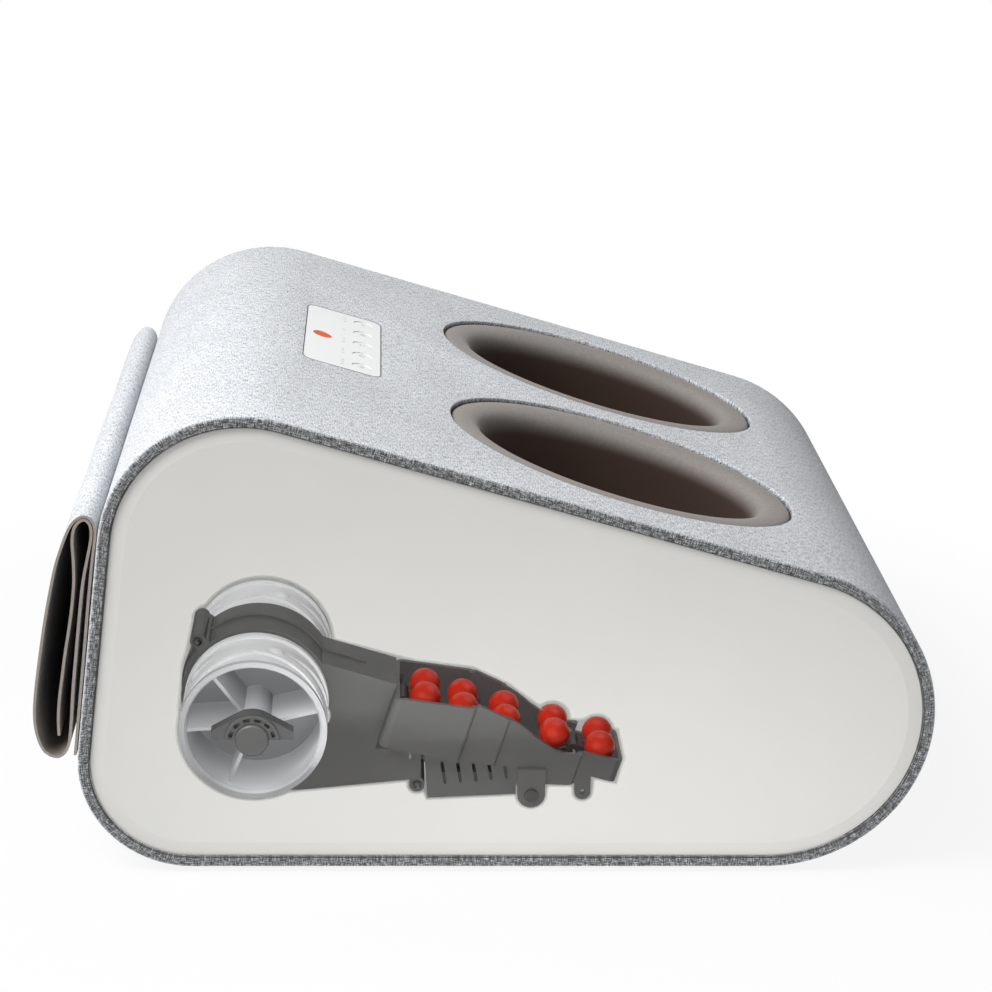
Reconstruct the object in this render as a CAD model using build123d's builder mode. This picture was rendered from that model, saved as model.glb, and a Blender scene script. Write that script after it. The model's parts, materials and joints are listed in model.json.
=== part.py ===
"""Shiatsu foot massager: a fabric-wrapped wedge housing over two kneading mechanisms.

Frame: +X runs from the toe end to the heel end, +Y across the body, +Z up.
The origin is on the floor, under the middle of the whole outline. Millimetres.
"""
import os
from math import cos, hypot, pi, radians, sin, sqrt

from build123d import *

os.makedirs("parts", exist_ok=True)

# Housing
body_length = 470.0
body_width = 385.0
body_height = 264.7
heel_radius = 89.4
toe_top_radius = 77.8
toe_low_radius = 61.5
toe_top_setback = 30.3
foot_height = 3.0
foot_radius = 11.0
foot_edge_margin = 35.0
fabric_thickness = 2.5
shell_thickness = 4.0
toe_seam_height = 67.0
heel_seam_height = 20.7
side_panel_thickness = 4.0
side_panel_recess = 1.0
side_panel_crown = 0.9
side_panel_band = 8.0
side_panel_edge = 0.6
divider_thickness = 3.0
fit_gap = 0.3
seat_gap = 0.1
overrun = 5.0

# Foot openings in the sloping deck, measured in from its ends, its sides and the middle
opening_toe_margin = 94.0
opening_heel_margin = 3.65
opening_side_margin = 27.5
opening_middle_margin = 9.0
collar_lip_depth = 2.2
collar_roll = 11.0
collar_edge = 1.2
collar_flange = 6.0
collar_flange_thickness = 3.0
collar_wall = 3.0
collar_throat_inset = 18.0
collar_throat_depth = 28.0
collar_depth = 46.0

# Control panel, measured down the slope from the deck's upper end
panel_centre = 29.5
panel_length = 46.0
panel_width = 120.0
panel_corner = 6.0
panel_ledge = 3.0
panel_post_radius = 2.0
panel_post_inset = 2.5
button_radius = 5.8
button_clearance = 0.2
button_recess = 0.3
button_flange = 1.2
button_flange_thickness = 1.0
button_crown = 0.6
button_pitch = 23.4
button_column = 41.4
power_column = 17.0
lens_column = 29.8
lens_radius = 0.9
lens_spacing = 4.4
lens_counts = (3, 3, 3, 1, 3)
board_thickness = 1.6
board_drop = 3.3

# Folded cover at the toe end, measured up and out from the toe wall
cover_proud = 25.1
cover_thickness = 2.4
cover_width = 381.0
cover_height = 137.9
cover_hang = 2.8
cover_root = -1.5
cover_hem = 9.5
root_leaf = 1.5
inner_leaf = 5.8
hem_leaf = 12.2
crown_width = 14.6
bow_leaf = 24.0
belly_leaf = 26.8
bow_height_share = 0.62
belly_height_share = 0.21
fold_gap = 2.9
crown_radius = 6.4
bow_radius = 60.0
belly_radius = 40.0
turn_radius = 8.0
crease_radius = 2.9

# Axle and bearings, in each foot bay
bay_shift = 10.5
axle_setback = 33.1
axle_height = 75.5
axle_radius = 5.0
axle_chamfer = 0.8
journal_radius = 9.3
journal_length = 14.0
journal_side_gap = 3.5
running_gap = 0.05
journal_gap = 0.1
bearing_radius = 18.5
bearing_width = 8.0
bearing_end_gap = 2.0
bearing_wing = 22.5
bearing_wing_thickness = 5.0
bearing_drop = 15.0
bearing_corner = 4.0
bearing_pocket_inner = 10.9
bearing_pocket_outer = 13.4
bearing_pocket_depth = 3.0
bearing_pocket_count = 6
bearing_pocket_arc = 3.6
bearing_pocket_start = 15.0
bearing_pocket_sweep = 150.0
split_gap = 0.15

# Rollers
roller_radius = 41.0
roller_core_radius = 39.2
roller_wall = 2.2
roller_gap = 1.0
roller_hub_radius = 10.0
roller_hub_setback = 4.0
roller_web = 2.5
roller_rib = 2.0
roller_rib_setback = 7.0
roller_rib_angles = (14.0, 127.0, 184.0, 248.0)
roller_rim_width = 4.0
roller_rim_lip = 2.0
roller_band_width = 8.0
roller_band_tilt = 12.0
roller_bump_radius = 6.5
roller_bump_reach = 1.6
roller_bump_count = 5

# Gearcase, measured from the axle
case_radius = 43.0
case_half_width = 20.0
case_wall = 2.5
case_ridge = 1.2
case_ridge_width = 1.5
case_boss_radius = 8.0
arm_root_x = 30.0
arm_root_z = 24.3
arm_top_x = 79.6
arm_top_z = 9.0
arm_end_x = 94.0
arm_step_x = 67.5
arm_step_z = -31.3
ridge_end_x = 62.0
arm_end_z = -50.0
sump_front_x = -18.0
sump_rear_x = 24.0
sump_z = -57.4
lug_radius = 4.5
lug_hole_radius = 1.6
lug_root_share = 0.9
top_lug_x = -33.0
top_lug_z = 35.0
low_lug_x = 92.0
low_lug_z = -53.8
bulkhead_thickness = 3.0
bulkhead_front_x = 16.0
bulkhead_rear_x = 62.0

# Worm drive
wheel_teeth = 40
wheel_pitch_radius = 38.0
wheel_addendum = 1.3
wheel_dedendum = 1.6
wheel_width = 10.0
wheel_tooth_share = 0.43
wheel_tip_share = 0.27
wheel_rim = 5.0
wheel_web = 3.0
wheel_hub_radius = 9.0
worm_pitch_radius = 7.5
worm_addendum = 1.4
worm_dedendum = 1.5
worm_turns = 4
worm_root_share = 0.46
worm_tip_share = 0.26
worm_margin = 2.0
shaft_radius = 3.0
shaft_front_x = -15.0

# Motor and its vented box, measured from the axle
motor_radius = 9.0
motor_front_x = 100.0
motor_rear_x = 138.0
motor_flat = 7.6
motor_cap_length = 6.0
motor_boss_radius = 4.0
motor_boss_length = 1.0
box_half_width = 21.6
box_wall = 2.0
box_front_x = 95.5
box_heel_x = 98.0
box_rear_x = 149.0
box_top_front_z = -26.5
box_top_rear_z = -42.0
box_low_front_z = -61.5
box_low_rear_z = -59.0
vent_count = 5
vent_first_x = 107.2
vent_pitch = 9.0
vent_width = 1.9
vent_long = 14.5
vent_short = 9.0
vent_low_z = -53.0
vent_rise = 3.4
vent_lean = 9.5
cradle_front_x = 110.0
cradle_rear_x = 128.0
cradle_thickness = 2.0

# Node tray, measured along and square to the row of kneading nodes
tray_pitch = 16.7
node_first_x = 96.3
node_first_z = -3.0
node_row_length = 106.5
node_place_shares = (0.0, 0.216, 0.455, 0.737, 1.0)
node_radius = 9.0
node_offset = 10.0
node_seat = 6.0
tray_front_margin = 19.0
tray_rear_margin = 13.3
tray_wall = 3.0
tray_end_wall = 2.2
tray_floor = -17.0
tray_floor_thickness = 2.2
tray_rear_floor = -12.4
tray_depth = 34.0
tray_half_width = 30.0
tray_floor_step_share = 0.865
tray_step_shares = (0.339, 0.490, 0.828)
tray_half_width_shares = (1.0, 0.9, 0.83, 0.77)
tray_step_round_share = 0.85
tray_corner = 5.0
tray_top_shares = (
    (0.0, 0.044),
    (0.041, 0.088),
    (0.336, 0.265),
    (0.344, 0.306),
    (0.488, 0.203),
    (0.548, 0.129),
    (0.612, 0.012),
    (0.701, -0.112),
    (0.749, -0.138),
    (0.826, -0.076),
    (0.831, -0.038),
    (1.0, -0.015),
)
tray_bottom_shares = (
    (1.0, -0.429),
    (0.89, -0.429),
    (0.857, -0.603),
    (0.8, -0.685),
    (0.731, -0.753),
    (0.607, -0.941),
    (0.555, -0.632),
    (0.329, -0.744),
    (0.093, -0.824),
    (0.0, -0.853),
)
notch_width = 4.5
notch_floor = -8.0
pivot_x = 158.0
pivot_z = -57.3
pivot_radius = 4.0
pivot_ear_radius = 8.0
pivot_ear_proud = 2.0
pivot_pin_proud = 1.5
post_half_width = 12.0
post_half_length = 8.0
rear_lug_along = 103.4
rear_lug_drop = -25.5

# Rockers, drive bar and pins
rocker_plate = 2.2
rocker_hub_radius = 3.5
rocker_hub_half_width = 9.0
rocker_web_half_width = 4.5
rocker_bar_half_width = 15.0
rocker_bar_half_length = 4.0
front_arm = 11.5
pin_radius = 1.5
pin_setback = 1.0
tail_radius = 1.7
tail_reach = 7.9
tail_half_width = 3.0
bar_thickness = 3.0
bar_half_width = 5.5
bar_front = -14.5
bar_rear = 98.0
bar_slot_gap = 0.25

# Power inlet on the right-hand panel, measured from the axle
inlet_x = 70.0
inlet_z = -40.0
inlet_radius = 5.6
inlet_flange_radius = 7.6
inlet_flange_thickness = 1.0
inlet_length = 15.0
inlet_bore_radius = 2.8
inlet_bore_depth = 10.0
inlet_pin_radius = 0.9

# Worked out from the sizes above
rim = fabric_thickness + shell_thickness
half_width = body_width / 2
shell_half_width = half_width - fabric_thickness
floor_z = foot_height + rim
shift = cover_proud / 2
heel_x = body_length / 2 - heel_radius + shift
heel_z = foot_height + heel_radius
toe_low_x = toe_low_radius - body_length / 2 + shift
toe_low_z = foot_height + toe_low_radius
toe_top_x = toe_low_x + toe_top_setback
toe_top_z = body_height - toe_top_radius
panel_outer_y = half_width - side_panel_recess
panel_inner_y = panel_outer_y - side_panel_thickness
axle_x = toe_low_x + axle_setback
bay_offset = (panel_inner_y + divider_thickness / 2) / 2 + bay_shift
bay_y = -bay_offset
journal_end = panel_inner_y - bay_offset - journal_side_gap
bearing_end = journal_end - bearing_end_gap
roller_inner_end = case_half_width + roller_gap
roller_outer_end = journal_end - journal_length
roller_width = roller_outer_end - roller_inner_end
mesh_z = -(wheel_pitch_radius + worm_pitch_radius)
tray_lean = radians(tray_pitch)
pivot_drop = node_seat + rocker_plate / 2
bar_drop = pivot_drop + tail_reach


def profile_circles(inset):
    """The housing's three profile circles, anticlockwise, as (x, z, radius)."""
    return (
        (heel_x, heel_z, heel_radius - inset),
        (toe_top_x, toe_top_z, toe_top_radius - inset),
        (toe_low_x, toe_low_z, toe_low_radius - inset),
    )


def tangent_normal(first, second):
    """The outward unit normal of the line that touches two profile circles."""
    run_x = second[0] - first[0]
    run_z = second[1] - first[1]
    span = hypot(run_x, run_z)
    lean = (first[2] - second[2]) / span
    across = sqrt(1 - lean**2)
    along_x = run_x / span
    along_z = run_z / span
    return (along_x * lean + along_z * across, along_z * lean - along_x * across)


def touch_point(circle, normal):
    """The point of a profile circle that faces along a normal."""
    return (circle[0] + circle[2] * normal[0], circle[1] + circle[2] * normal[1])


def housing_profile(inset, mode=Mode.ADD):
    """Draw the housing's side profile, drawn in by an inset, as a face."""
    circles = profile_circles(inset)
    with BuildLine() as outline:
        for index, circle in enumerate(circles):
            following = circles[(index + 1) % len(circles)]
            enter = tangent_normal(circles[index - 1], circle)
            leave = tangent_normal(circle, following)
            length = hypot(enter[0] + leave[0], enter[1] + leave[1])
            middle = ((enter[0] + leave[0]) / length, (enter[1] + leave[1]) / length)
            end = touch_point(circle, leave)
            ThreePointArc(touch_point(circle, enter), touch_point(circle, middle), end)
            Line(end, touch_point(following, leave))
    make_face(outline.edges(), mode=mode)


outer_circles = profile_circles(0)
deck_normal = tangent_normal(outer_circles[0], outer_circles[1])
deck_foot = touch_point(outer_circles[0], deck_normal)
deck_top = touch_point(outer_circles[1], deck_normal)
deck_length = hypot(deck_foot[0] - deck_top[0], deck_foot[1] - deck_top[1])
opening_half_length = (deck_length - opening_toe_margin - opening_heel_margin) / 2
opening_half_width = (half_width - opening_side_margin - opening_middle_margin) / 2
opening_centre = opening_toe_margin + opening_half_length
opening_offset = opening_middle_margin + opening_half_width
deck = Plane(
    origin=(deck_top[0], 0, deck_top[1]),
    x_dir=(deck_normal[1], 0, -deck_normal[0]),
    z_dir=(deck_normal[0], 0, deck_normal[1]),
)
wall_normal = tangent_normal(outer_circles[1], outer_circles[2])
wall_foot = touch_point(outer_circles[2], wall_normal)
cover_plane = Plane(
    origin=(wall_foot[0], 0, wall_foot[1]),
    x_dir=(wall_normal[1], 0, -wall_normal[0]),
    z_dir=(0, -1, 0),
)
toe_seam_x = toe_low_x - sqrt(toe_low_radius**2 - (toe_seam_height - toe_low_z) ** 2)
heel_seam_x = heel_x + sqrt(heel_radius**2 - (heel_seam_height - heel_z) ** 2)
seam_plane = Plane(
    origin=(toe_seam_x, 0, toe_seam_height),
    x_dir=(heel_seam_x - toe_seam_x, 0, heel_seam_height - toe_seam_height),
    z_dir=(toe_seam_height - heel_seam_height, 0, heel_seam_x - toe_seam_x),
)


def axle_plane(y):
    """A side-view plane at a given y, with its origin on the roller axle."""
    return Plane(origin=(axle_x, y, axle_height), x_dir=(1, 0, 0), z_dir=(0, -1, 0))


def tray_plane(y):
    """A side-view plane at a given y, laid along the row of kneading nodes."""
    return Plane(
        origin=(axle_x + node_first_x, y, axle_height + node_first_z),
        x_dir=(cos(tray_lean), 0, -sin(tray_lean)),
        z_dir=(0, -1, 0),
    )


def cross_plane(x, z):
    """A plane across the left bay, facing the heel, at a place behind the axle."""
    return Plane(origin=(axle_x + x, bay_y, axle_height + z), x_dir=(0, 0, 1), z_dir=(1, 0, 0))


bay_plane = axle_plane(bay_y)
bay_tray_plane = tray_plane(bay_y)
tray_level = Plane(
    origin=bay_tray_plane.origin,
    x_dir=bay_tray_plane.x_dir,
    z_dir=(sin(tray_lean), 0, cos(tray_lean)),
)
spin_plane = Plane(origin=(axle_x, bay_y, axle_height), x_dir=(0, -1, 0), z_dir=(-1, 0, 0))
spin_axis = Axis((axle_x, bay_y, axle_height), (0, 1, 0))


def write(piece, name):
    """Label a finished piece and write its STEP file."""
    piece.label = name
    export_step(piece, f"parts/{name}.step")


# Top cover: the moulded upper part of the housing wall, pierced for the feet
opening_places = ((opening_centre, -opening_offset), (opening_centre, opening_offset))
wall_cut = rim + overrun
ledge_length = panel_length - 2 * panel_ledge
ledge_width = panel_width - 2 * panel_ledge
ledge_corner = panel_corner - panel_ledge
sleeve_half_length = opening_half_length + fabric_thickness
sleeve_half_width = opening_half_width + fabric_thickness
with BuildPart() as top_cover:
    with BuildSketch(Plane.XZ):
        housing_profile(fabric_thickness)
        housing_profile(rim, mode=Mode.SUBTRACT)
    extrude(amount=shell_half_width, both=True)
    split(bisect_by=seam_plane, keep=Keep.TOP)
    with BuildSketch(deck):
        with Locations(*opening_places):
            Ellipse(sleeve_half_length + seat_gap, sleeve_half_width + seat_gap)
        with Locations((panel_centre, 0)):
            RectangleRounded(ledge_length + 2 * fit_gap, ledge_width + 2 * fit_gap, ledge_corner)
    extrude(amount=-wall_cut, mode=Mode.SUBTRACT)
write(top_cover.part, "top_cover")

# Upper fabric: the heather wrap, returned over the cover's ends and into the openings
with BuildPart() as upper_fabric:
    with BuildSketch(Plane.XZ):
        housing_profile(0)
        housing_profile(fabric_thickness, mode=Mode.SUBTRACT)
    extrude(amount=half_width, both=True)
    for end_y in (-shell_half_width, half_width):
        with BuildSketch(Plane.XZ.offset(-end_y)):
            housing_profile(0)
            housing_profile(rim, mode=Mode.SUBTRACT)
        extrude(amount=fabric_thickness)
    split(bisect_by=seam_plane, keep=Keep.TOP)
    with BuildSketch(deck):
        with Locations(*opening_places):
            Ellipse(sleeve_half_length, sleeve_half_width)
    extrude(amount=-rim)
    with BuildSketch(deck.offset(overrun)):
        with Locations(*opening_places):
            Ellipse(opening_half_length, opening_half_width)
        with Locations((panel_centre, 0)):
            RectangleRounded(panel_length + 2 * seat_gap, panel_width + 2 * seat_gap, panel_corner)
    extrude(amount=-(wall_cut + overrun), mode=Mode.SUBTRACT)
write(upper_fabric.part, "upper_fabric")

# Base shell: the lower part of the housing wall, with a bearing post in each bay
post_top = axle_height + pivot_z + pivot_radius + shell_thickness / 2
post_root = floor_z - shell_thickness / 2
post_places = ((axle_x + pivot_x, bay_y), (axle_x + pivot_x, -bay_y))
with BuildPart() as base_shell:
    with BuildSketch(Plane.XZ):
        housing_profile(fabric_thickness)
        housing_profile(rim, mode=Mode.SUBTRACT)
    extrude(amount=shell_half_width, both=True)
    split(bisect_by=seam_plane, keep=Keep.BOTTOM)
    with BuildSketch(Plane.XY.offset(post_root)):
        with Locations(*post_places):
            Rectangle(2 * post_half_length, 2 * post_half_width)
    extrude(amount=post_top - post_root)
    with BuildSketch(axle_plane(0)):
        with Locations((pivot_x, pivot_z)):
            Circle(pivot_radius + running_gap)
    extrude(amount=half_width - rim, both=True, mode=Mode.SUBTRACT)
write(base_shell.part, "base_shell")

# Lower fabric: the wrap under the body, sewn to the upper one at both ends
with BuildPart() as lower_fabric:
    with BuildSketch(Plane.XZ):
        housing_profile(0)
        housing_profile(fabric_thickness, mode=Mode.SUBTRACT)
    extrude(amount=half_width, both=True)
    for end_y in (-shell_half_width, half_width):
        with BuildSketch(Plane.XZ.offset(-end_y)):
            housing_profile(0)
            housing_profile(rim, mode=Mode.SUBTRACT)
        extrude(amount=fabric_thickness)
    split(bisect_by=seam_plane, keep=Keep.BOTTOM)
write(lower_fabric.part, "lower_fabric")

# Rubber feet under the flat of the base
feet_spacing_x = heel_x - toe_low_x - 2 * foot_radius
feet_spacing_y = body_width - 2 * foot_edge_margin
with BuildPart() as rubber_feet:
    with BuildSketch(Plane.XY):
        with Locations(((heel_x + toe_low_x) / 2, 0)):
            with GridLocations(feet_spacing_x, feet_spacing_y, 2, 2):
                Circle(foot_radius)
    extrude(amount=foot_height)
write(rubber_feet.part, "rubber_feet")

# Side panels: crowned plates let into the open ends, each with an axle cradle inside
cradle_reach = bay_offset + bearing_end - bearing_width
journal_stop = journal_end + split_gap
with BuildPart() as side_panel_left:
    with BuildSketch(Plane.XZ.offset(panel_inner_y)):
        housing_profile(rim + fit_gap)
    extrude(amount=side_panel_thickness)
    panel_face = side_panel_left.faces().sort_by(Axis.Y)[0]
    chamfer(panel_face.edges(), side_panel_band, side_panel_crown, reference=panel_face)
    band_y = side_panel_crown - panel_outer_y
    band_edges = side_panel_left.edges().filter_by_position(Axis.Y, band_y - seat_gap, band_y + seat_gap)
    fillet(band_edges, side_panel_edge)
    with BuildSketch(axle_plane(-panel_inner_y)):
        with Locations((0, -(bearing_drop + split_gap) / 2)):
            RectangleRounded(2 * bearing_wing, bearing_drop - split_gap, bearing_corner)
        with Locations((0, -split_gap - bearing_corner)):
            Rectangle(2 * bearing_wing, 2 * bearing_corner)
    extrude(amount=-(panel_inner_y - cradle_reach))
    with BuildSketch(axle_plane(-cradle_reach)):
        Circle(journal_radius + journal_gap)
    extrude(amount=bay_offset + journal_stop - cradle_reach, mode=Mode.SUBTRACT)
write(side_panel_left.part, "side_panel_left")

inlet_plane = Plane(
    origin=(axle_x + inlet_x, panel_outer_y, axle_height + inlet_z),
    x_dir=(1, 0, 0),
    z_dir=(0, -1, 0),
)
with BuildPart() as side_panel_right:
    add(mirror(side_panel_left.part, about=Plane.XZ, mode=Mode.PRIVATE))
    with BuildSketch(inlet_plane):
        Circle(inlet_radius + seat_gap)
    extrude(amount=side_panel_thickness, mode=Mode.SUBTRACT)
write(side_panel_right.part, "side_panel_right")

# Power inlet: a flanged barrel socket in the right-hand panel
with BuildPart() as power_inlet:
    with BuildSketch(inlet_plane):
        Circle(inlet_radius)
    extrude(amount=inlet_length)
    with BuildSketch(inlet_plane):
        Circle(inlet_flange_radius)
    extrude(amount=-inlet_flange_thickness)
    with BuildSketch(inlet_plane.offset(-inlet_flange_thickness)):
        Circle(inlet_bore_radius)
        Circle(inlet_pin_radius, mode=Mode.SUBTRACT)
    extrude(amount=inlet_bore_depth, mode=Mode.SUBTRACT)
write(power_inlet.part, "power_inlet")

# Centre divider: the wall between the two foot bays, with the inner axle cradles
inner_cradle_reach = bay_offset - bearing_end + bearing_width
inner_stop_reach = bay_offset - journal_stop
with BuildPart() as centre_divider:
    with BuildSketch(Plane.XZ):
        housing_profile(rim + fit_gap)
    extrude(amount=divider_thickness / 2, both=True)
    with BuildSketch(axle_plane(0)):
        with Locations((0, -(bearing_drop + split_gap) / 2)):
            RectangleRounded(2 * bearing_wing, bearing_drop - split_gap, bearing_corner)
        with Locations((0, -split_gap - bearing_corner)):
            Rectangle(2 * bearing_wing, 2 * bearing_corner)
    extrude(amount=inner_cradle_reach, both=True)
    for start_y in (-inner_stop_reach, inner_cradle_reach):
        with BuildSketch(axle_plane(start_y)):
            Circle(journal_radius + journal_gap)
        extrude(amount=inner_cradle_reach - inner_stop_reach, mode=Mode.SUBTRACT)
    with BuildSketch(deck):
        with Locations((panel_centre, 0)):
            Rectangle(ledge_length + 2 * divider_thickness, 2 * divider_thickness)
    extrude(amount=-(rim + board_drop + board_thickness + divider_thickness), mode=Mode.SUBTRACT)
write(centre_divider.part, "centre_divider")

# Foot collars: padded rings just under the fabric's edge, each running down into a throat
collar_top = rim + seat_gap
collar_neck = collar_top + collar_flange_thickness
throat_half_length = opening_half_length - collar_throat_inset
throat_half_width = opening_half_width - collar_throat_inset
collar_place = (opening_centre, -opening_offset)
with BuildPart() as foot_collar:
    with BuildSketch(deck.offset(-collar_lip_depth)):
        with Locations(collar_place):
            Ellipse(opening_half_length - fit_gap, opening_half_width - fit_gap)
    extrude(amount=collar_lip_depth - collar_neck)
    with BuildSketch(deck.offset(-collar_top)):
        with Locations(collar_place):
            Ellipse(opening_half_length + collar_flange, opening_half_width + collar_flange)
    extrude(amount=-collar_flange_thickness)
    with BuildSketch(deck.offset(-collar_neck)):
        with Locations(collar_place):
            Ellipse(opening_half_length + collar_wall, opening_half_width + collar_wall)
    with BuildSketch(deck.offset(-collar_throat_depth)):
        with Locations(collar_place):
            Ellipse(throat_half_length + collar_wall, throat_half_width + collar_wall)
    loft()
    with BuildSketch(deck.offset(-collar_throat_depth)):
        with Locations(collar_place):
            Ellipse(throat_half_length + collar_wall, throat_half_width + collar_wall)
    extrude(amount=collar_throat_depth - collar_depth)
    with BuildSketch(deck.offset(-collar_lip_depth)):
        with Locations(collar_place):
            Ellipse(throat_half_length, throat_half_width)
    extrude(amount=collar_lip_depth - collar_depth, mode=Mode.SUBTRACT)
    collar_face = foot_collar.faces().sort_by(Axis(deck.origin, deck.z_dir))[-1]
    fillet(collar_face.inner_wires().edges(), collar_roll)
    collar_face = foot_collar.faces().sort_by(Axis(deck.origin, deck.z_dir))[-1]
    fillet(collar_face.outer_wire().edges(), collar_edge)
write(foot_collar.part, "foot_collar_left")
write(mirror(foot_collar.part, about=Plane.XZ), "foot_collar_right")

# Control panel: a rounded plate flush with the fabric, standing on a ledge
middle_button = (len(lens_counts) - 1) / 2
button_places = [
    (button_column, (index - middle_button) * button_pitch) for index in range(len(lens_counts))
]
lens_places = [
    (lens_column, place[1] + (step - (count - 1) / 2) * lens_spacing)
    for place, count in zip(button_places, lens_counts)
    for step in range(count)
]
post_spacing_x = ledge_length - 2 * panel_post_inset
post_spacing_y = ledge_width - 2 * panel_post_inset
with BuildPart() as control_panel:
    with BuildSketch(deck):
        with Locations((panel_centre, 0)):
            RectangleRounded(panel_length, panel_width, panel_corner)
    extrude(amount=-fabric_thickness)
    with BuildSketch(deck.offset(-fabric_thickness)):
        with Locations((panel_centre, 0)):
            RectangleRounded(ledge_length, ledge_width, ledge_corner)
    extrude(amount=-shell_thickness)
    with BuildSketch(deck.offset(-rim)):
        with Locations((panel_centre, 0)):
            with GridLocations(post_spacing_x, post_spacing_y, 2, 2):
                Circle(panel_post_radius)
    extrude(amount=-board_drop)
    with BuildSketch(deck):
        with Locations(*button_places, (power_column, 0)):
            Circle(button_radius + button_clearance)
        with Locations(*lens_places):
            Circle(lens_radius + seat_gap)
    extrude(amount=-rim, mode=Mode.SUBTRACT)
write(control_panel.part, "control_panel")


def push_button(place, name):
    """Make and write one push button: a crowned cap with a flange under the panel."""
    with BuildPart() as button:
        with BuildSketch(deck.offset(-button_recess)):
            with Locations(place):
                Circle(button_radius)
        extrude(amount=-(rim - button_recess + fit_gap))
        fillet(button.faces().sort_by(Axis(deck.origin, deck.z_dir))[-1].edges(), button_crown)
        with BuildSketch(deck.offset(-(rim + fit_gap))):
            with Locations(place):
                Circle(button_radius + button_flange)
        extrude(amount=-button_flange_thickness)
    write(button.part, name)


push_button((power_column, 0), "power_button")
for number, button_place in enumerate(button_places, start=1):
    push_button(button_place, f"function_button_{number}")

# Indicator lenses: small light guides beside the buttons
with BuildPart() as indicator_lenses:
    with BuildSketch(deck):
        with Locations(*lens_places):
            Circle(lens_radius)
    extrude(amount=-rim)
write(indicator_lenses.part, "indicator_lenses")

# Button board, seated on the panel's posts
with BuildPart() as button_board:
    with BuildSketch(deck.offset(-(rim + board_drop))):
        with Locations((panel_centre, 0)):
            Rectangle(ledge_length, ledge_width)
    extrude(amount=-board_thickness)
write(button_board.part, "button_board")

# Folded cover: four leaves of lined cloth, sewn on at the toe seam
crease_top = cover_height - fold_gap
with BuildPart() as fold_cover:
    with BuildSketch(cover_plane):
        with BuildLine():
            FilletPolyline(
                (cover_root, root_leaf),
                (cover_height, root_leaf),
                (cover_height, root_leaf + crown_width),
                (cover_height * bow_height_share, bow_leaf),
                (cover_height * belly_height_share, belly_leaf),
                (-cover_hang, belly_leaf - cover_thickness),
                (-cover_hang, inner_leaf),
                (crease_top, inner_leaf),
                (crease_top, hem_leaf),
                (cover_hem, hem_leaf),
                radius=[
                    crown_radius,
                    crown_radius,
                    bow_radius,
                    belly_radius,
                    turn_radius,
                    turn_radius,
                    crease_radius,
                    crease_radius,
                ],
            )
        trace(line_width=cover_thickness)
    extrude(amount=cover_width / 2, both=True)
write(fold_cover.part, "fold_cover")

# Pieces of one bay's mechanism, made in the left bay and mirrored into the right one
bay_pieces = {}

# Roller axle: a shaft with a wide journal at each end
with BuildPart() as roller_axle:
    with BuildSketch(spin_plane):
        Rectangle(2 * roller_outer_end, axle_radius, align=(Align.CENTER, Align.MIN))
        for side in (-1, 1):
            with Locations((side * (journal_end + roller_outer_end) / 2, 0)):
                Rectangle(journal_length, journal_radius, align=(Align.CENTER, Align.MIN))
    revolve(axis=spin_axis)
    chamfer(roller_axle.edges().group_by(Axis.Y)[0], axle_chamfer)
    chamfer(roller_axle.edges().group_by(Axis.Y)[-1], axle_chamfer)
bay_pieces["roller_axle"] = roller_axle.part

# Roller tread: two crossing raised bands and a ring of rounded bumps
tread_root = roller_core_radius - roller_wall / 2
tread_middle = (roller_inner_end + roller_outer_end) / 2
bump_orbit = roller_radius + roller_bump_reach - roller_bump_radius
with BuildPart() as roller_tread:
    for tilt in (-roller_band_tilt, roller_band_tilt):
        band_plane = Plane(
            origin=(axle_x, bay_y - tread_middle, axle_height),
            x_dir=(cos(radians(tilt)), sin(radians(tilt)), 0),
            z_dir=(sin(radians(tilt)), -cos(radians(tilt)), 0),
        )
        with BuildSketch(band_plane):
            Ellipse(roller_radius / cos(radians(tilt)), roller_radius)
        extrude(amount=roller_band_width / 2, both=True)
    with BuildSketch(axle_plane(bay_y - roller_outer_end)):
        Circle(roller_radius)
    extrude(amount=-roller_width, mode=Mode.INTERSECT)
    with Locations(axle_plane(bay_y - tread_middle)):
        with PolarLocations(bump_orbit, roller_bump_count):
            Sphere(roller_bump_radius)
    with BuildSketch(axle_plane(bay_y - roller_outer_end)):
        Circle(tread_root)
    extrude(amount=-roller_width, mode=Mode.SUBTRACT)

# Outer roller: a dished drum with a thin rim, a web at the back and four ribs
rib_root = roller_hub_radius - roller_rib
rib_tip = roller_core_radius - roller_wall / 2
rib_middle = (rib_root + rib_tip) / 2
with BuildPart() as roller_outer:
    with BuildSketch(spin_plane):
        Polygon(
            (roller_inner_end, axle_radius + running_gap),
            (roller_outer_end - roller_hub_setback, axle_radius + running_gap),
            (roller_outer_end - roller_hub_setback, roller_hub_radius),
            (roller_inner_end + roller_web, roller_hub_radius),
            (roller_inner_end + roller_web, roller_core_radius - roller_wall),
            (roller_outer_end - roller_rim_lip, roller_core_radius - roller_wall),
            (roller_outer_end, roller_core_radius - roller_wall / 2),
            (roller_outer_end, roller_radius),
            (roller_outer_end - roller_rim_width, roller_radius),
            (roller_outer_end - roller_rim_width, roller_core_radius),
            (roller_inner_end + roller_rim_width, roller_core_radius),
            (roller_inner_end + roller_rim_width, roller_radius),
            (roller_inner_end, roller_radius),
            align=None,
        )
    revolve(axis=spin_axis)
    with BuildSketch(axle_plane(bay_y - roller_inner_end)):
        for rib_angle in roller_rib_angles:
            turn = radians(rib_angle)
            with Locations((rib_middle * cos(turn), rib_middle * sin(turn))):
                Rectangle(rib_tip - rib_root, roller_rib, rotation=rib_angle)
    extrude(amount=roller_width - roller_rib_setback)
    add(roller_tread.part)
bay_pieces["roller_outer"] = roller_outer.part
bay_pieces["roller_inner"] = mirror(roller_outer.part, about=bay_plane)

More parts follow.
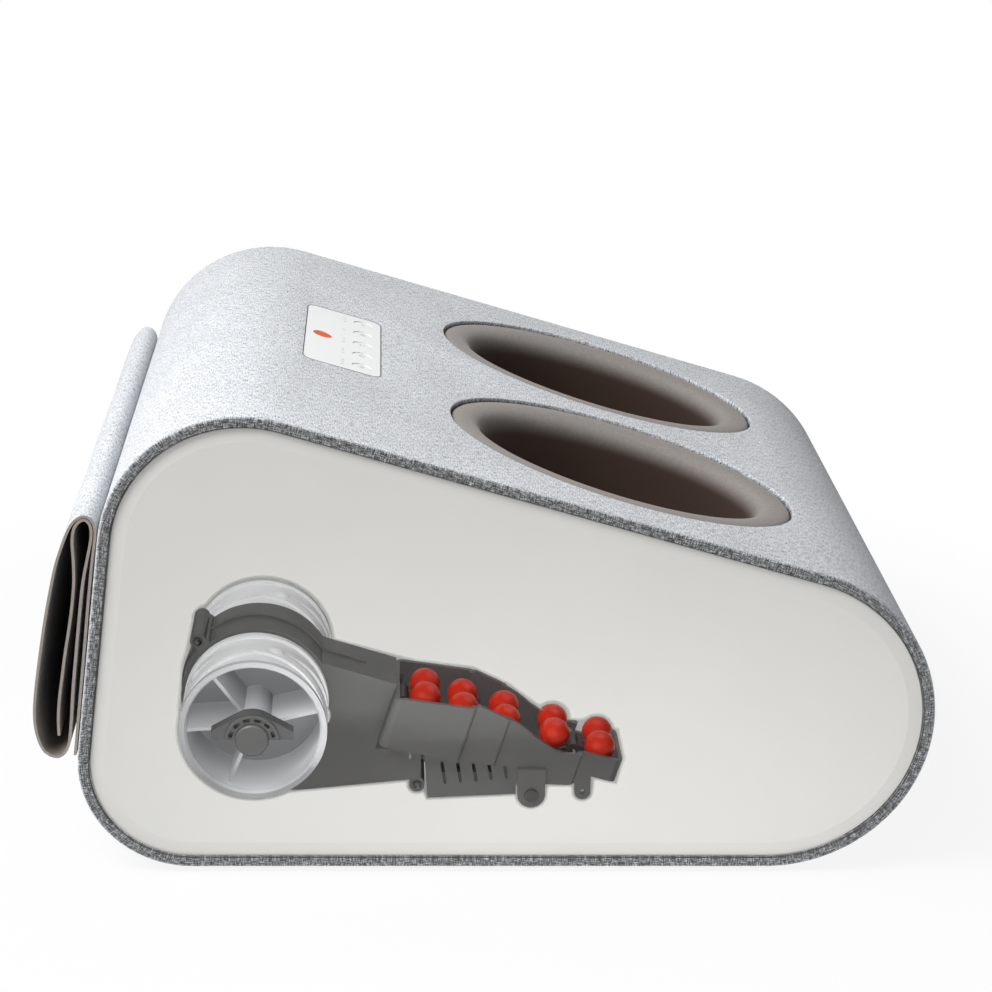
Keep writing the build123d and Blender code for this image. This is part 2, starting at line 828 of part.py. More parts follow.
# Bearing caps: ribbed saddles over the journals at both ends of the axle
pocket_orbit = (bearing_pocket_inner + bearing_pocket_outer) / 2
with BuildPart() as bearing_caps:
    with BuildSketch(axle_plane(bay_y - bearing_end)):
        Circle(bearing_radius)
        Polygon(
            (-bearing_wing, split_gap),
            (bearing_wing, split_gap),
            (bearing_wing, bearing_wing_thickness),
            (0, bearing_radius + bearing_wing_thickness / 2),
            (-bearing_wing, bearing_wing_thickness),
            align=None,
        )
        Rectangle(
            2 * bearing_radius,
            2 * bearing_radius,
            align=(Align.CENTER, Align.MAX),
            mode=Mode.SUBTRACT,
        )
        Rectangle(2 * bearing_wing, 2 * split_gap, mode=Mode.SUBTRACT)
        Circle(journal_radius + journal_gap, mode=Mode.SUBTRACT)
    extrude(amount=-bearing_width)
    with BuildSketch(axle_plane(bay_y - bearing_end)):
        with PolarLocations(
            pocket_orbit,
            bearing_pocket_count,
            start_angle=bearing_pocket_start,
            angular_range=bearing_pocket_sweep,
            endpoint=True,
        ):
            Rectangle(bearing_pocket_outer - bearing_pocket_inner, bearing_pocket_arc)
    extrude(amount=-bearing_pocket_depth, mode=Mode.SUBTRACT)
    mirror(about=bay_plane)
bay_pieces["bearing_caps"] = bearing_caps.part


def case_outline(mode=Mode.ADD):
    """Draw the gearcase's side outline: the disc over the wheel and the long arm."""
    Circle(case_radius, mode=mode)
    Polygon(
        (sump_front_x, 0),
        (sump_front_x, sump_z),
        (sump_rear_x, sump_z),
        (arm_end_x, arm_end_z),
        (arm_end_x, arm_step_z),
        (arm_step_x, arm_step_z),
        (arm_top_x, arm_top_z),
        (arm_root_x, arm_root_z),
        align=None,
        mode=mode,
    )


# Gearcase: two half shells around the wheel and worm, meeting on the bay's mid-plane
with BuildPart() as gearcase_outer:
    with BuildSketch(bay_plane):
        case_outline()
        with Locations((top_lug_x, top_lug_z), (low_lug_x, low_lug_z)):
            Circle(lug_radius)
        with Locations((top_lug_x * lug_root_share, top_lug_z * lug_root_share)):
            Circle(lug_radius)
    extrude(amount=case_half_width)
    with BuildSketch(bay_plane):
        case_outline()
        offset(amount=case_ridge, mode=Mode.REPLACE)
        with Locations((arm_end_x, 0)):
            Rectangle(2 * case_ridge, 4 * case_radius, mode=Mode.SUBTRACT)
        with Locations((ridge_end_x, arm_step_z)):
            Rectangle(arm_end_x, 2 * case_radius, align=Align.MIN, mode=Mode.SUBTRACT)
    extrude(amount=case_ridge_width)
    with BuildSketch(bay_plane):
        case_outline()
        offset(amount=-case_wall, kind=Kind.INTERSECTION, mode=Mode.REPLACE)
        for bulkhead_x in (bulkhead_front_x, bulkhead_rear_x):
            with Locations((bulkhead_x, sump_z)):
                Rectangle(
                    bulkhead_thickness,
                    2 * (mesh_z - sump_z) + shaft_radius,
                    align=(Align.MIN, Align.CENTER),
                    mode=Mode.SUBTRACT,
                )
    extrude(amount=case_half_width - case_wall, mode=Mode.SUBTRACT)
    with BuildSketch(axle_plane(bay_y - case_half_width)):
        Circle(case_boss_radius)
    extrude(amount=-(case_half_width - wheel_width / 2 - fit_gap))
    with BuildSketch(bay_plane):
        Circle(axle_radius + running_gap)
        with Locations((top_lug_x, top_lug_z), (low_lug_x, low_lug_z)):
            Circle(lug_hole_radius)
    extrude(amount=case_half_width, mode=Mode.SUBTRACT)
    with BuildSketch(cross_plane(sump_front_x + case_wall, mesh_z)):
        Circle(shaft_radius + running_gap)
    extrude(amount=arm_end_x - sump_front_x, mode=Mode.SUBTRACT)
bay_pieces["gearcase_outer"] = gearcase_outer.part
bay_pieces["gearcase_inner"] = mirror(gearcase_outer.part, about=bay_plane)

# Worm wheel: a webbed wheel on the axle
wheel_root = wheel_pitch_radius - wheel_dedendum
tooth_pitch = 2 * pi * wheel_pitch_radius / wheel_teeth
half_wheel = wheel_width / 2
with BuildPart() as worm_wheel:
    with BuildSketch(spin_plane):
        Polygon(
            (-half_wheel, axle_radius + running_gap),
            (half_wheel, axle_radius + running_gap),
            (half_wheel, wheel_hub_radius),
            (wheel_web / 2, wheel_hub_radius),
            (wheel_web / 2, wheel_root - wheel_rim),
            (half_wheel, wheel_root - wheel_rim),
            (half_wheel, wheel_root),
            (-half_wheel, wheel_root),
            (-half_wheel, wheel_root - wheel_rim),
            (-wheel_web / 2, wheel_root - wheel_rim),
            (-wheel_web / 2, wheel_hub_radius),
            (-half_wheel, wheel_hub_radius),
            align=None,
        )
    revolve(axis=spin_axis)
    with BuildSketch(bay_plane):
        with PolarLocations(wheel_pitch_radius, wheel_teeth, start_angle=180 / wheel_teeth - 90):
            Polygon(
                (-2 * wheel_dedendum, -tooth_pitch * wheel_tooth_share / 2),
                (wheel_addendum, -tooth_pitch * wheel_tip_share / 2),
                (wheel_addendum, tooth_pitch * wheel_tip_share / 2),
                (-2 * wheel_dedendum, tooth_pitch * wheel_tooth_share / 2),
                align=None,
            )
    extrude(amount=half_wheel, both=True)
bay_pieces["worm_wheel"] = worm_wheel.part

# Worm shaft: a single-start worm on the motor's long shaft
worm_root = worm_pitch_radius - worm_dedendum
worm_half_length = worm_turns * tooth_pitch / 2 + worm_margin
worm_plane = cross_plane(0, mesh_z)
thread_height = worm_turns * tooth_pitch
with BuildPart() as worm_thread:
    with BuildLine() as thread_path:
        Helix(tooth_pitch, thread_height, worm_pitch_radius, center=(0, 0, -thread_height / 2))
    thread_plane = Plane(
        origin=thread_path.line @ 0,
        x_dir=(1, 0, 0),
        z_dir=thread_path.line % 0,
    )
    with BuildSketch(thread_plane):
        Polygon(
            (-2 * worm_dedendum, -tooth_pitch * worm_root_share / 2),
            (worm_addendum, -tooth_pitch * worm_tip_share / 2),
            (worm_addendum, tooth_pitch * worm_tip_share / 2),
            (-2 * worm_dedendum, tooth_pitch * worm_root_share / 2),
            align=None,
        )
    sweep(path=thread_path.line, is_frenet=True)
with BuildPart() as worm_shaft:
    with BuildSketch(cross_plane(shaft_front_x, mesh_z)):
        Circle(shaft_radius)
    extrude(amount=motor_front_x - motor_boss_length - seat_gap - shaft_front_x)
    with BuildSketch(worm_plane):
        Circle(worm_root)
    extrude(amount=worm_half_length, both=True)
    with Locations(worm_plane):
        add(worm_thread.part)
bay_pieces["worm_shaft"] = worm_shaft.part

# Motor: a flat-sided can with an end cap and a front boss
with BuildPart() as motor:
    with BuildSketch(cross_plane(motor_front_x, mesh_z)):
        Circle(motor_radius)
        Rectangle(2 * motor_radius, 2 * motor_flat, mode=Mode.INTERSECT)
    extrude(amount=motor_rear_x - motor_front_x)
    with BuildSketch(cross_plane(motor_front_x, mesh_z)):
        Circle(motor_boss_radius)
    extrude(amount=-motor_boss_length)
    with BuildSketch(cross_plane(motor_rear_x - motor_cap_length, mesh_z)):
        Circle(motor_radius - box_wall / 2)
    extrude(amount=motor_cap_length + box_wall)
bay_pieces["motor"] = motor.part

# Motor box: a vented tub under the node tray, with two cradles for the motor
box_outline = (
    (box_front_x, box_top_front_z),
    (box_heel_x, box_low_front_z),
    (box_rear_x, box_low_rear_z),
    (box_rear_x, box_top_rear_z),
)
with BuildPart() as motor_box:
    with BuildSketch(bay_plane):
        Polygon(*box_outline, align=None)
    extrude(amount=box_half_width, both=True)
    with BuildSketch(bay_plane):
        Polygon(
            (box_front_x + box_wall, 0),
            (box_heel_x + box_wall, box_low_front_z + box_wall),
            (box_rear_x - box_wall, box_low_rear_z + box_wall),
            (box_rear_x - box_wall, 0),
            align=None,
        )
        for cradle_x in (cradle_front_x, cradle_rear_x):
            with Locations((cradle_x, box_low_front_z)):
                Rectangle(
                    cradle_thickness,
                    mesh_z - box_low_front_z,
                    align=(Align.CENTER, Align.MIN),
                    mode=Mode.SUBTRACT,
                )
    extrude(amount=box_half_width - box_wall, both=True, mode=Mode.SUBTRACT)
    with BuildSketch(cross_plane(box_front_x, mesh_z)):
        Circle(motor_boss_radius + running_gap)
    extrude(amount=box_heel_x - box_front_x + box_wall, mode=Mode.SUBTRACT)
    with BuildSketch(cross_plane(box_heel_x + box_wall, mesh_z)):
        Circle(motor_radius + running_gap)
    extrude(amount=motor_rear_x - box_heel_x, mode=Mode.SUBTRACT)
    with BuildSketch(bay_plane):
        for index in range(vent_count):
            share = index / (vent_count - 1)
            vent_length = vent_long + (vent_short - vent_long) * share
            vent_z = vent_low_z + vent_rise * share + vent_length / 2
            with Locations((vent_first_x + index * vent_pitch, vent_z)):
                SlotOverall(vent_length, vent_width, rotation=90 + vent_lean)
    extrude(amount=box_half_width, both=True, mode=Mode.SUBTRACT)
bay_pieces["motor_box"] = motor_box.part

# Node tray: a stepped trough with a floor, skirts and two pivot ears
tray_front = -tray_front_margin
tray_rear = node_row_length + tray_rear_margin
tray_length = tray_rear - tray_front
tray_floor_step = tray_front + tray_floor_step_share * tray_length
tray_steps = [tray_front + share * tray_length for share in tray_step_shares]
tray_half_widths = [share * tray_half_width for share in tray_half_width_shares]
tray_outline = [
    (tray_front + along_share * tray_length, height_share * tray_depth)
    for along_share, height_share in (*tray_top_shares, *tray_bottom_shares)
]
node_places = [share * node_row_length for share in node_place_shares]
rocker_names = ("front", "middle", "rear")
rocker_places = (node_places[:1], node_places[1:3], node_places[3:])
rocker_pivots = (
    node_places[0] - front_arm,
    (node_places[1] + node_places[2]) / 2,
    (node_places[3] + node_places[4]) / 2,
)
ear_thickness = tray_wall + pivot_ear_proud
ear_reach = tray_half_widths[2] + pivot_ear_proud
section_starts = (tray_front, *tray_steps)
section_ends = (*tray_steps, tray_rear)
room_starts = (tray_front + tray_wall, *(step - tray_wall for step in tray_steps))
room_ends = (*room_starts[1:], tray_rear - tray_end_wall)


def stepped_plan(starts, ends, half_widths):
    """The points of a stepped outline that is the same on both sides of the row."""
    one_side = [
        (along, half)
        for start, end, half in zip(starts, ends, half_widths)
        for along in (start, end)
    ]
    return [*one_side, *((along, -half) for along, half in reversed(one_side))]


def tray_room(outline):
    """The space between the tray's walls, kept to an outline in side view."""
    with BuildPart() as room:
        with BuildSketch(tray_level):
            inner_half_widths = [half - tray_wall for half in tray_half_widths]
            Polygon(*stepped_plan(room_starts, room_ends, inner_half_widths), align=None)
        extrude(amount=2 * tray_depth, both=True)
        with BuildSketch(bay_tray_plane):
            Polygon(*outline, align=None)
        extrude(amount=tray_half_width, both=True, mode=Mode.INTERSECT)
    return room.part


tray_cavity = tray_room(
    (
        (tray_front, tray_floor),
        (tray_floor_step, tray_floor),
        (tray_floor_step, tray_rear_floor),
        (tray_rear, tray_rear_floor),
        (tray_rear, tray_depth),
        (tray_front, tray_depth),
    )
)
tray_underside = tray_room(
    (
        (tray_front, -2 * tray_depth),
        (tray_floor_step, -2 * tray_depth),
        (tray_floor_step, tray_floor - tray_floor_thickness),
        (tray_front, tray_floor - tray_floor_thickness),
    )
)
with BuildPart() as node_tray:
    with BuildSketch(tray_level) as tray_plan:
        Polygon(*stepped_plan(section_starts, section_ends, tray_half_widths), align=None)
        fillet(tray_plan.vertices().group_by(Axis.X)[0], tray_corner)
        fillet(tray_plan.vertices().group_by(Axis.X)[-1], tray_corner)
        for step, wide, narrow in zip(tray_steps, tray_half_widths, tray_half_widths[1:]):
            for across in (-wide, wide):
                corner = tray_plan.vertices().sort_by_distance((step, across, 0))[0]
                fillet(corner, (wide - narrow) * tray_step_round_share)
    extrude(amount=2 * tray_depth, both=True)
    with BuildSketch(bay_tray_plane):
        Polygon(*tray_outline, align=None)
    extrude(amount=tray_half_width, both=True, mode=Mode.INTERSECT)
    add(tray_cavity, mode=Mode.SUBTRACT)
    add(tray_underside, mode=Mode.SUBTRACT)
    with BuildSketch(bay_tray_plane):
        with Locations((tray_steps[-1], notch_floor)):
            Rectangle(notch_width, tray_depth, align=Align.MIN)
    extrude(amount=-tray_half_widths[0], mode=Mode.SUBTRACT)
    for ear_end in (-ear_reach, ear_reach - ear_thickness):
        with BuildSketch(axle_plane(bay_y + ear_end)):
            with Locations((pivot_x, pivot_z)):
                Circle(pivot_ear_radius)
                Rectangle(
                    2 * pivot_ear_radius, 2 * pivot_ear_radius, align=(Align.CENTER, Align.MIN)
                )
        extrude(amount=-ear_thickness)
    for lug_end in (-tray_half_widths[-1], tray_half_widths[-1] - lug_radius):
        with BuildSketch(tray_plane(bay_y + lug_end)):
            with Locations((rear_lug_along, rear_lug_drop)):
                Circle(lug_radius)
                Rectangle(
                    2 * lug_radius, 3 * lug_radius, align=(Align.CENTER, Align.MIN), rotation=tray_pitch
                )
        extrude(amount=-lug_radius)
    with BuildSketch(bay_tray_plane):
        with Locations((rear_lug_along, rear_lug_drop)):
            Circle(lug_hole_radius)
    extrude(amount=ear_reach, both=True, mode=Mode.SUBTRACT)
    for along, section_half in zip(rocker_pivots, tray_half_widths):
        with BuildSketch(tray_plane(bay_y + pin_setback - section_half)):
            with Locations((along, -pivot_drop)):
                Circle(pin_radius + running_gap)
        extrude(amount=-2 * section_half, mode=Mode.SUBTRACT)
    with BuildSketch(bay_plane):
        with Locations((pivot_x, pivot_z)):
            Circle(pivot_radius + running_gap)
    extrude(amount=ear_reach, both=True, mode=Mode.SUBTRACT)
bay_pieces["node_tray"] = node_tray.part

# Pivot pins: carry the heel end of each tray in the base shell's posts
with BuildPart() as pivot_pins:
    with BuildSketch(bay_plane):
        with Locations((pivot_x, pivot_z)):
            Circle(pivot_radius)
    extrude(amount=ear_reach + pivot_pin_proud, both=True)
    mirror(about=Plane.XZ)
write(pivot_pins.part, "pivot_pins")

# Rocker pins, one through each rocker and both tray walls
with BuildPart() as rocker_pins:
    for along, section_half in zip(rocker_pivots, tray_half_widths):
        with BuildSketch(bay_tray_plane):
            with Locations((along, -pivot_drop)):
                Circle(pin_radius)
        extrude(amount=section_half - pin_setback, both=True)
bay_pieces["rocker_pins"] = rocker_pins.part

# Drive bar: slides along the tray floor and swings all the rockers by their tails
with BuildPart() as drive_bar:
    with BuildSketch(bay_tray_plane):
        with Locations((bar_front, -bar_drop)):
            Rectangle(bar_rear - bar_front, bar_thickness, align=(Align.MIN, Align.CENTER))
    extrude(amount=bar_half_width, both=True)
    with BuildSketch(bay_tray_plane):
        with Locations(*[(along, -bar_drop) for along in rocker_pivots]):
            Rectangle(2 * (tail_radius + bar_slot_gap), 2 * bar_thickness)
    extrude(amount=tail_half_width + fit_gap, both=True, mode=Mode.SUBTRACT)
bay_pieces["drive_bar"] = drive_bar.part

for rocker_name, along, places in zip(rocker_names, rocker_pivots, rocker_places):
    # Rocker: a thin beam with a cross bar under each pair of nodes, a hub and a tail
    with BuildPart() as rocker:
        with BuildSketch(bay_tray_plane):
            with Locations((min(along, places[0]), -node_seat)):
                Rectangle(
                    places[-1] - min(along, places[0]), rocker_plate, align=(Align.MIN, Align.MAX)
                )
        extrude(amount=rocker_web_half_width, both=True)
        with BuildSketch(bay_tray_plane):
            with Locations(*[(place, -pivot_drop) for place in places]):
                Rectangle(2 * rocker_bar_half_length, rocker_plate)
        extrude(amount=rocker_bar_half_width, both=True)
        with BuildSketch(bay_tray_plane):
            with Locations((along, -pivot_drop)):
                Circle(rocker_hub_radius)
        extrude(amount=rocker_hub_half_width, both=True)
        with BuildSketch(bay_tray_plane):
            with Locations((along, -pivot_drop)):
                Rectangle(2 * tail_radius, tail_reach, align=(Align.CENTER, Align.MAX))
            with Locations((along, -bar_drop)):
                Circle(tail_radius)
        extrude(amount=tail_half_width, both=True)
        with BuildSketch(bay_tray_plane):
            with Locations((along, -pivot_drop)):
                Circle(pin_radius + running_gap)
        extrude(amount=rocker_hub_half_width, both=True, mode=Mode.SUBTRACT)
    bay_pieces[f"rocker_{rocker_name}"] = rocker.part

    # Kneading nodes: pairs of balls, each cut flat where it sits on its rocker
    with BuildPart() as kneading_nodes:
        for side in (-node_offset, node_offset):
            with Locations(tray_plane(bay_y + side)):
                with Locations(*[(place, 0) for place in places]):
                    Sphere(node_radius)
        with BuildSketch(bay_tray_plane):
            with Locations((places[0] - node_radius, -node_seat)):
                Rectangle(
                    places[-1] - places[0] + 2 * node_radius,
                    node_radius,
                    align=(Align.MIN, Align.MAX),
                )
        extrude(amount=node_offset + node_radius, both=True, mode=Mode.SUBTRACT)
    bay_pieces[f"kneading_nodes_{rocker_name}"] = kneading_nodes.part

for piece_name, piece in bay_pieces.items():
    write(piece, f"{piece_name}_left")
    write(mirror(piece, about=Plane.XZ), f"{piece_name}_right")
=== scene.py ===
"""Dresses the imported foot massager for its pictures: cloth, mouldings, rubber and a studio."""

import json
import logging
import math
from dataclasses import dataclass
from enum import Enum
from typing import Callable, Iterable, Sequence

import bmesh
import bpy
from mathutils import Matrix, Vector
from mathutils.kdtree import KDTree

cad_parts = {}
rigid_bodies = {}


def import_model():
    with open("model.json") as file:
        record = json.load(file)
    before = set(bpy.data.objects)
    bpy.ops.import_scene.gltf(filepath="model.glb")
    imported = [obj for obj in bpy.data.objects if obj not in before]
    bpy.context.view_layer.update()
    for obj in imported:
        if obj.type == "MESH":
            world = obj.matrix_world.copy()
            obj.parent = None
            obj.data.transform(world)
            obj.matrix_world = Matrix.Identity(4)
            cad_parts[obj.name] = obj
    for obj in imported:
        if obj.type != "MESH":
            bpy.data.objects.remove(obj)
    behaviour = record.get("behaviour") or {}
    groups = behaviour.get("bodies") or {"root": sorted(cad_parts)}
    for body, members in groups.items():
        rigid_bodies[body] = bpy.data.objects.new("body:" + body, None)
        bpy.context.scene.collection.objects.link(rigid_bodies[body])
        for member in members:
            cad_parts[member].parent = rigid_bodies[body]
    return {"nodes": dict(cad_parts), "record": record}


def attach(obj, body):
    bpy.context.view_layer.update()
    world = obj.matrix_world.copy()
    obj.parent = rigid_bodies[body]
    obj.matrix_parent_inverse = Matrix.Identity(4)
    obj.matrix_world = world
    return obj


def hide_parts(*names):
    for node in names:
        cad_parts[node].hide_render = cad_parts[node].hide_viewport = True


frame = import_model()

Piece = bpy.types.Object
Material = bpy.types.Material
Socket = bpy.types.NodeSocket
Colour = tuple[float, float, float]
Point2 = tuple[float, float]
Point3 = tuple[float, float, float]

MM = 0.001
HALF_WIDTH = 0.1925  # from the body's middle to the ends of its cloth
AXLE: Point2 = (-0.12785, 0.0755)  # the rollers' axis, as x and z
BAY = 0.105  # from the body's middle to a foot bay's
SHARP = math.radians(32)  # edges that turn by more than this are rounded
FLAT = math.radians(0.6)  # faces that differ by less than this are one
CAD_JOIN = 0.005 * MM
JOIN = 0.02 * MM
WHITE = (1.0, 1.0, 1.0, 1.0)
NOISE_BAND = (0.3, 0.7)  # most of a noise pattern's values lie between these
log = logging.getLogger("foot_massager")


class Side(Enum):
    """The two foot bays, seen from the toe end."""

    LEFT = "left"
    RIGHT = "right"

    @property
    def sign(self) -> int:
        """Gives the side's direction across the body."""
        return -1 if self is Side.LEFT else 1


# Modelling helpers


def clear_selection() -> None:
    """Leaves edit mode, if it is on, and deselects every object."""
    if bpy.context.mode != "OBJECT":
        bpy.ops.object.mode_set(mode="OBJECT")
    bpy.ops.object.select_all(action="DESELECT")


def pick(piece: Piece) -> None:
    """Deselects everything and makes one object the only selected and active one.

    Args:
        piece: the object that the next operators act on.
    """
    clear_selection()
    piece.select_set(True)
    bpy.context.view_layer.objects.active = piece


def fresh(add: Callable[..., object], **settings: object) -> Piece:
    """Adds a primitive while nothing else is selected.

    Args:
        add: the operator that adds it.
        **settings: the operator's settings.

    Returns:
        The new object.
    """
    clear_selection()
    add(**settings)
    return bpy.context.object


def edit(piece: Piece) -> None:
    """Opens a piece in edit mode, with everything in it selected.

    Args:
        piece: the object to edit.
    """
    pick(piece)
    bpy.ops.object.mode_set(mode="EDIT")
    bpy.ops.mesh.select_all(action="SELECT")


def select_where(piece: Piece, kind: str, rule: Callable[[object], bool]) -> None:
    """Selects, in edit mode, only the elements that follow a rule.

    Args:
        piece: the object that is being edited.
        kind: which elements: verts, edges or faces.
        rule: says whether an element is selected.
    """
    bpy.ops.mesh.select_all(action="DESELECT")
    sculpt = bmesh.from_edit_mesh(piece.data)
    for element in getattr(sculpt, kind):
        if rule(element):
            element.select_set(True)
    bmesh.update_edit_mesh(piece.data)


def modify(piece: Piece, kind: str, **settings: object) -> None:
    """Gives a piece one modifier and applies it.

    Args:
        piece: the object to change.
        kind: the modifier's type.
        **settings: the modifier's properties.
    """
    pick(piece)
    modifier = piece.modifiers.new(kind.lower(), kind)
    for key, value in settings.items():
        setattr(modifier, key, value)
    bpy.ops.object.modifier_apply(modifier=modifier.name)


def settle(piece: Piece) -> None:
    """Applies a piece's place, turn and scale to its mesh."""
    pick(piece)
    bpy.ops.object.transform_apply(location=True, rotation=True, scale=True)


def place(piece: Piece, matrix: Matrix) -> None:
    """Puts a piece where a matrix says and applies that to its mesh.

    Args:
        piece: the object, modelled around the origin.
        matrix: its place in the row frame.
    """
    settle(piece)
    piece.matrix_world = matrix
    settle(piece)


def smooth(piece: Piece, degrees: float = 35.0) -> None:
    """Shades a piece smooth, with edges sharper than an angle kept crisp."""
    pick(piece)
    bpy.ops.object.shade_smooth_by_angle(angle=math.radians(degrees))


def close_up(piece: Piece) -> None:
    """Merges a piece's doubles and turns its faces outwards.

    Args:
        piece: the object to clean.
    """
    edit(piece)
    bpy.ops.mesh.remove_doubles(threshold=JOIN)
    bpy.ops.mesh.normals_make_consistent(inside=False)
    bpy.ops.object.mode_set(mode="OBJECT")


def round_edges(
    piece: Piece,
    width: float,
    segments: int = 2,
    weigh: Callable[[Vector, Vector], float] = lambda first, second: 1.0,
    clamp: bool = True,
) -> None:
    """Rounds a piece's sharp edges.

    Args:
        piece: the object to round.
        width: the width of the widest rounding.
        segments: the faces across a rounding.
        weigh: gives each sharp edge its share of the width from its two ends.
        clamp: whether short edges hold the rounding back.
    """
    sculpt = bmesh.new()
    sculpt.from_mesh(piece.data)
    layers = sculpt.edges.layers.float
    layer = layers.get("bevel_weight_edge") or layers.new("bevel_weight_edge")
    for edge in sculpt.edges:
        if len(edge.link_faces) == 2 and edge.calc_face_angle(0) > SHARP:
            edge[layer] = weigh(*(corner.co for corner in edge.verts))
    sculpt.to_mesh(piece.data)
    sculpt.free()
    modify(
        piece,
        "BEVEL",
        limit_method="WEIGHT",
        width=width,
        segments=segments,
        miter_outer="MITER_ARC",
        use_clamp_overlap=clamp,
    )


def even_shading(piece: Piece, degrees: float = 38.0, weight: int = 90) -> None:
    """Shades a rounded moulding smooth and keeps its large faces flat."""
    smooth(piece, degrees)
    modify(piece, "WEIGHTED_NORMAL", keep_sharp=True, weight=weight)


def merged_copy(node: str) -> Piece:
    """Copies a node's mesh to a new object, with its loose triangles merged into clean faces.

    Args:
        node: the node's name.

    Returns:
        The new object, at the origin.
    """
    piece = bpy.data.objects.new(node, frame["nodes"][node].data.copy())
    bpy.context.scene.collection.objects.link(piece)
    piece.data.materials.clear()
    pick(piece)
    if piece.data.has_custom_normals:
        bpy.ops.mesh.customdata_custom_splitnormals_clear()
    edit(piece)
    bpy.ops.mesh.remove_doubles(threshold=CAD_JOIN)
    bpy.ops.mesh.dissolve_limited(angle_limit=FLAT)
    bpy.ops.object.mode_set(mode="OBJECT")
    return piece


def finish(
    piece: Piece, name: str, body: str, materials: Sequence[Material]
) -> None:
    """Names a piece, gives it its materials and sets it on the body that it moves with.

    Args:
        piece: the modelled object.
        name: the piece's name.
        body: the body that it rides on.
        materials: its materials, in slot order.
    """
    piece.name = name
    piece.data.name = name
    for material in materials:
        piece.data.materials.append(material)
    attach(piece, body)
    log.info("made %s with %d faces", name, len(piece.data.polygons))


def dress(node: str, material: Material) -> None:
    """Gives a node that keeps its shape its material.

    Args:
        node: the node's name.
        material: its finish.
    """
    mesh = frame["nodes"][node].data
    mesh.materials.clear()
    mesh.materials.append(material)
    log.info("dressed %s in %s", node, material.name)


# Finishes


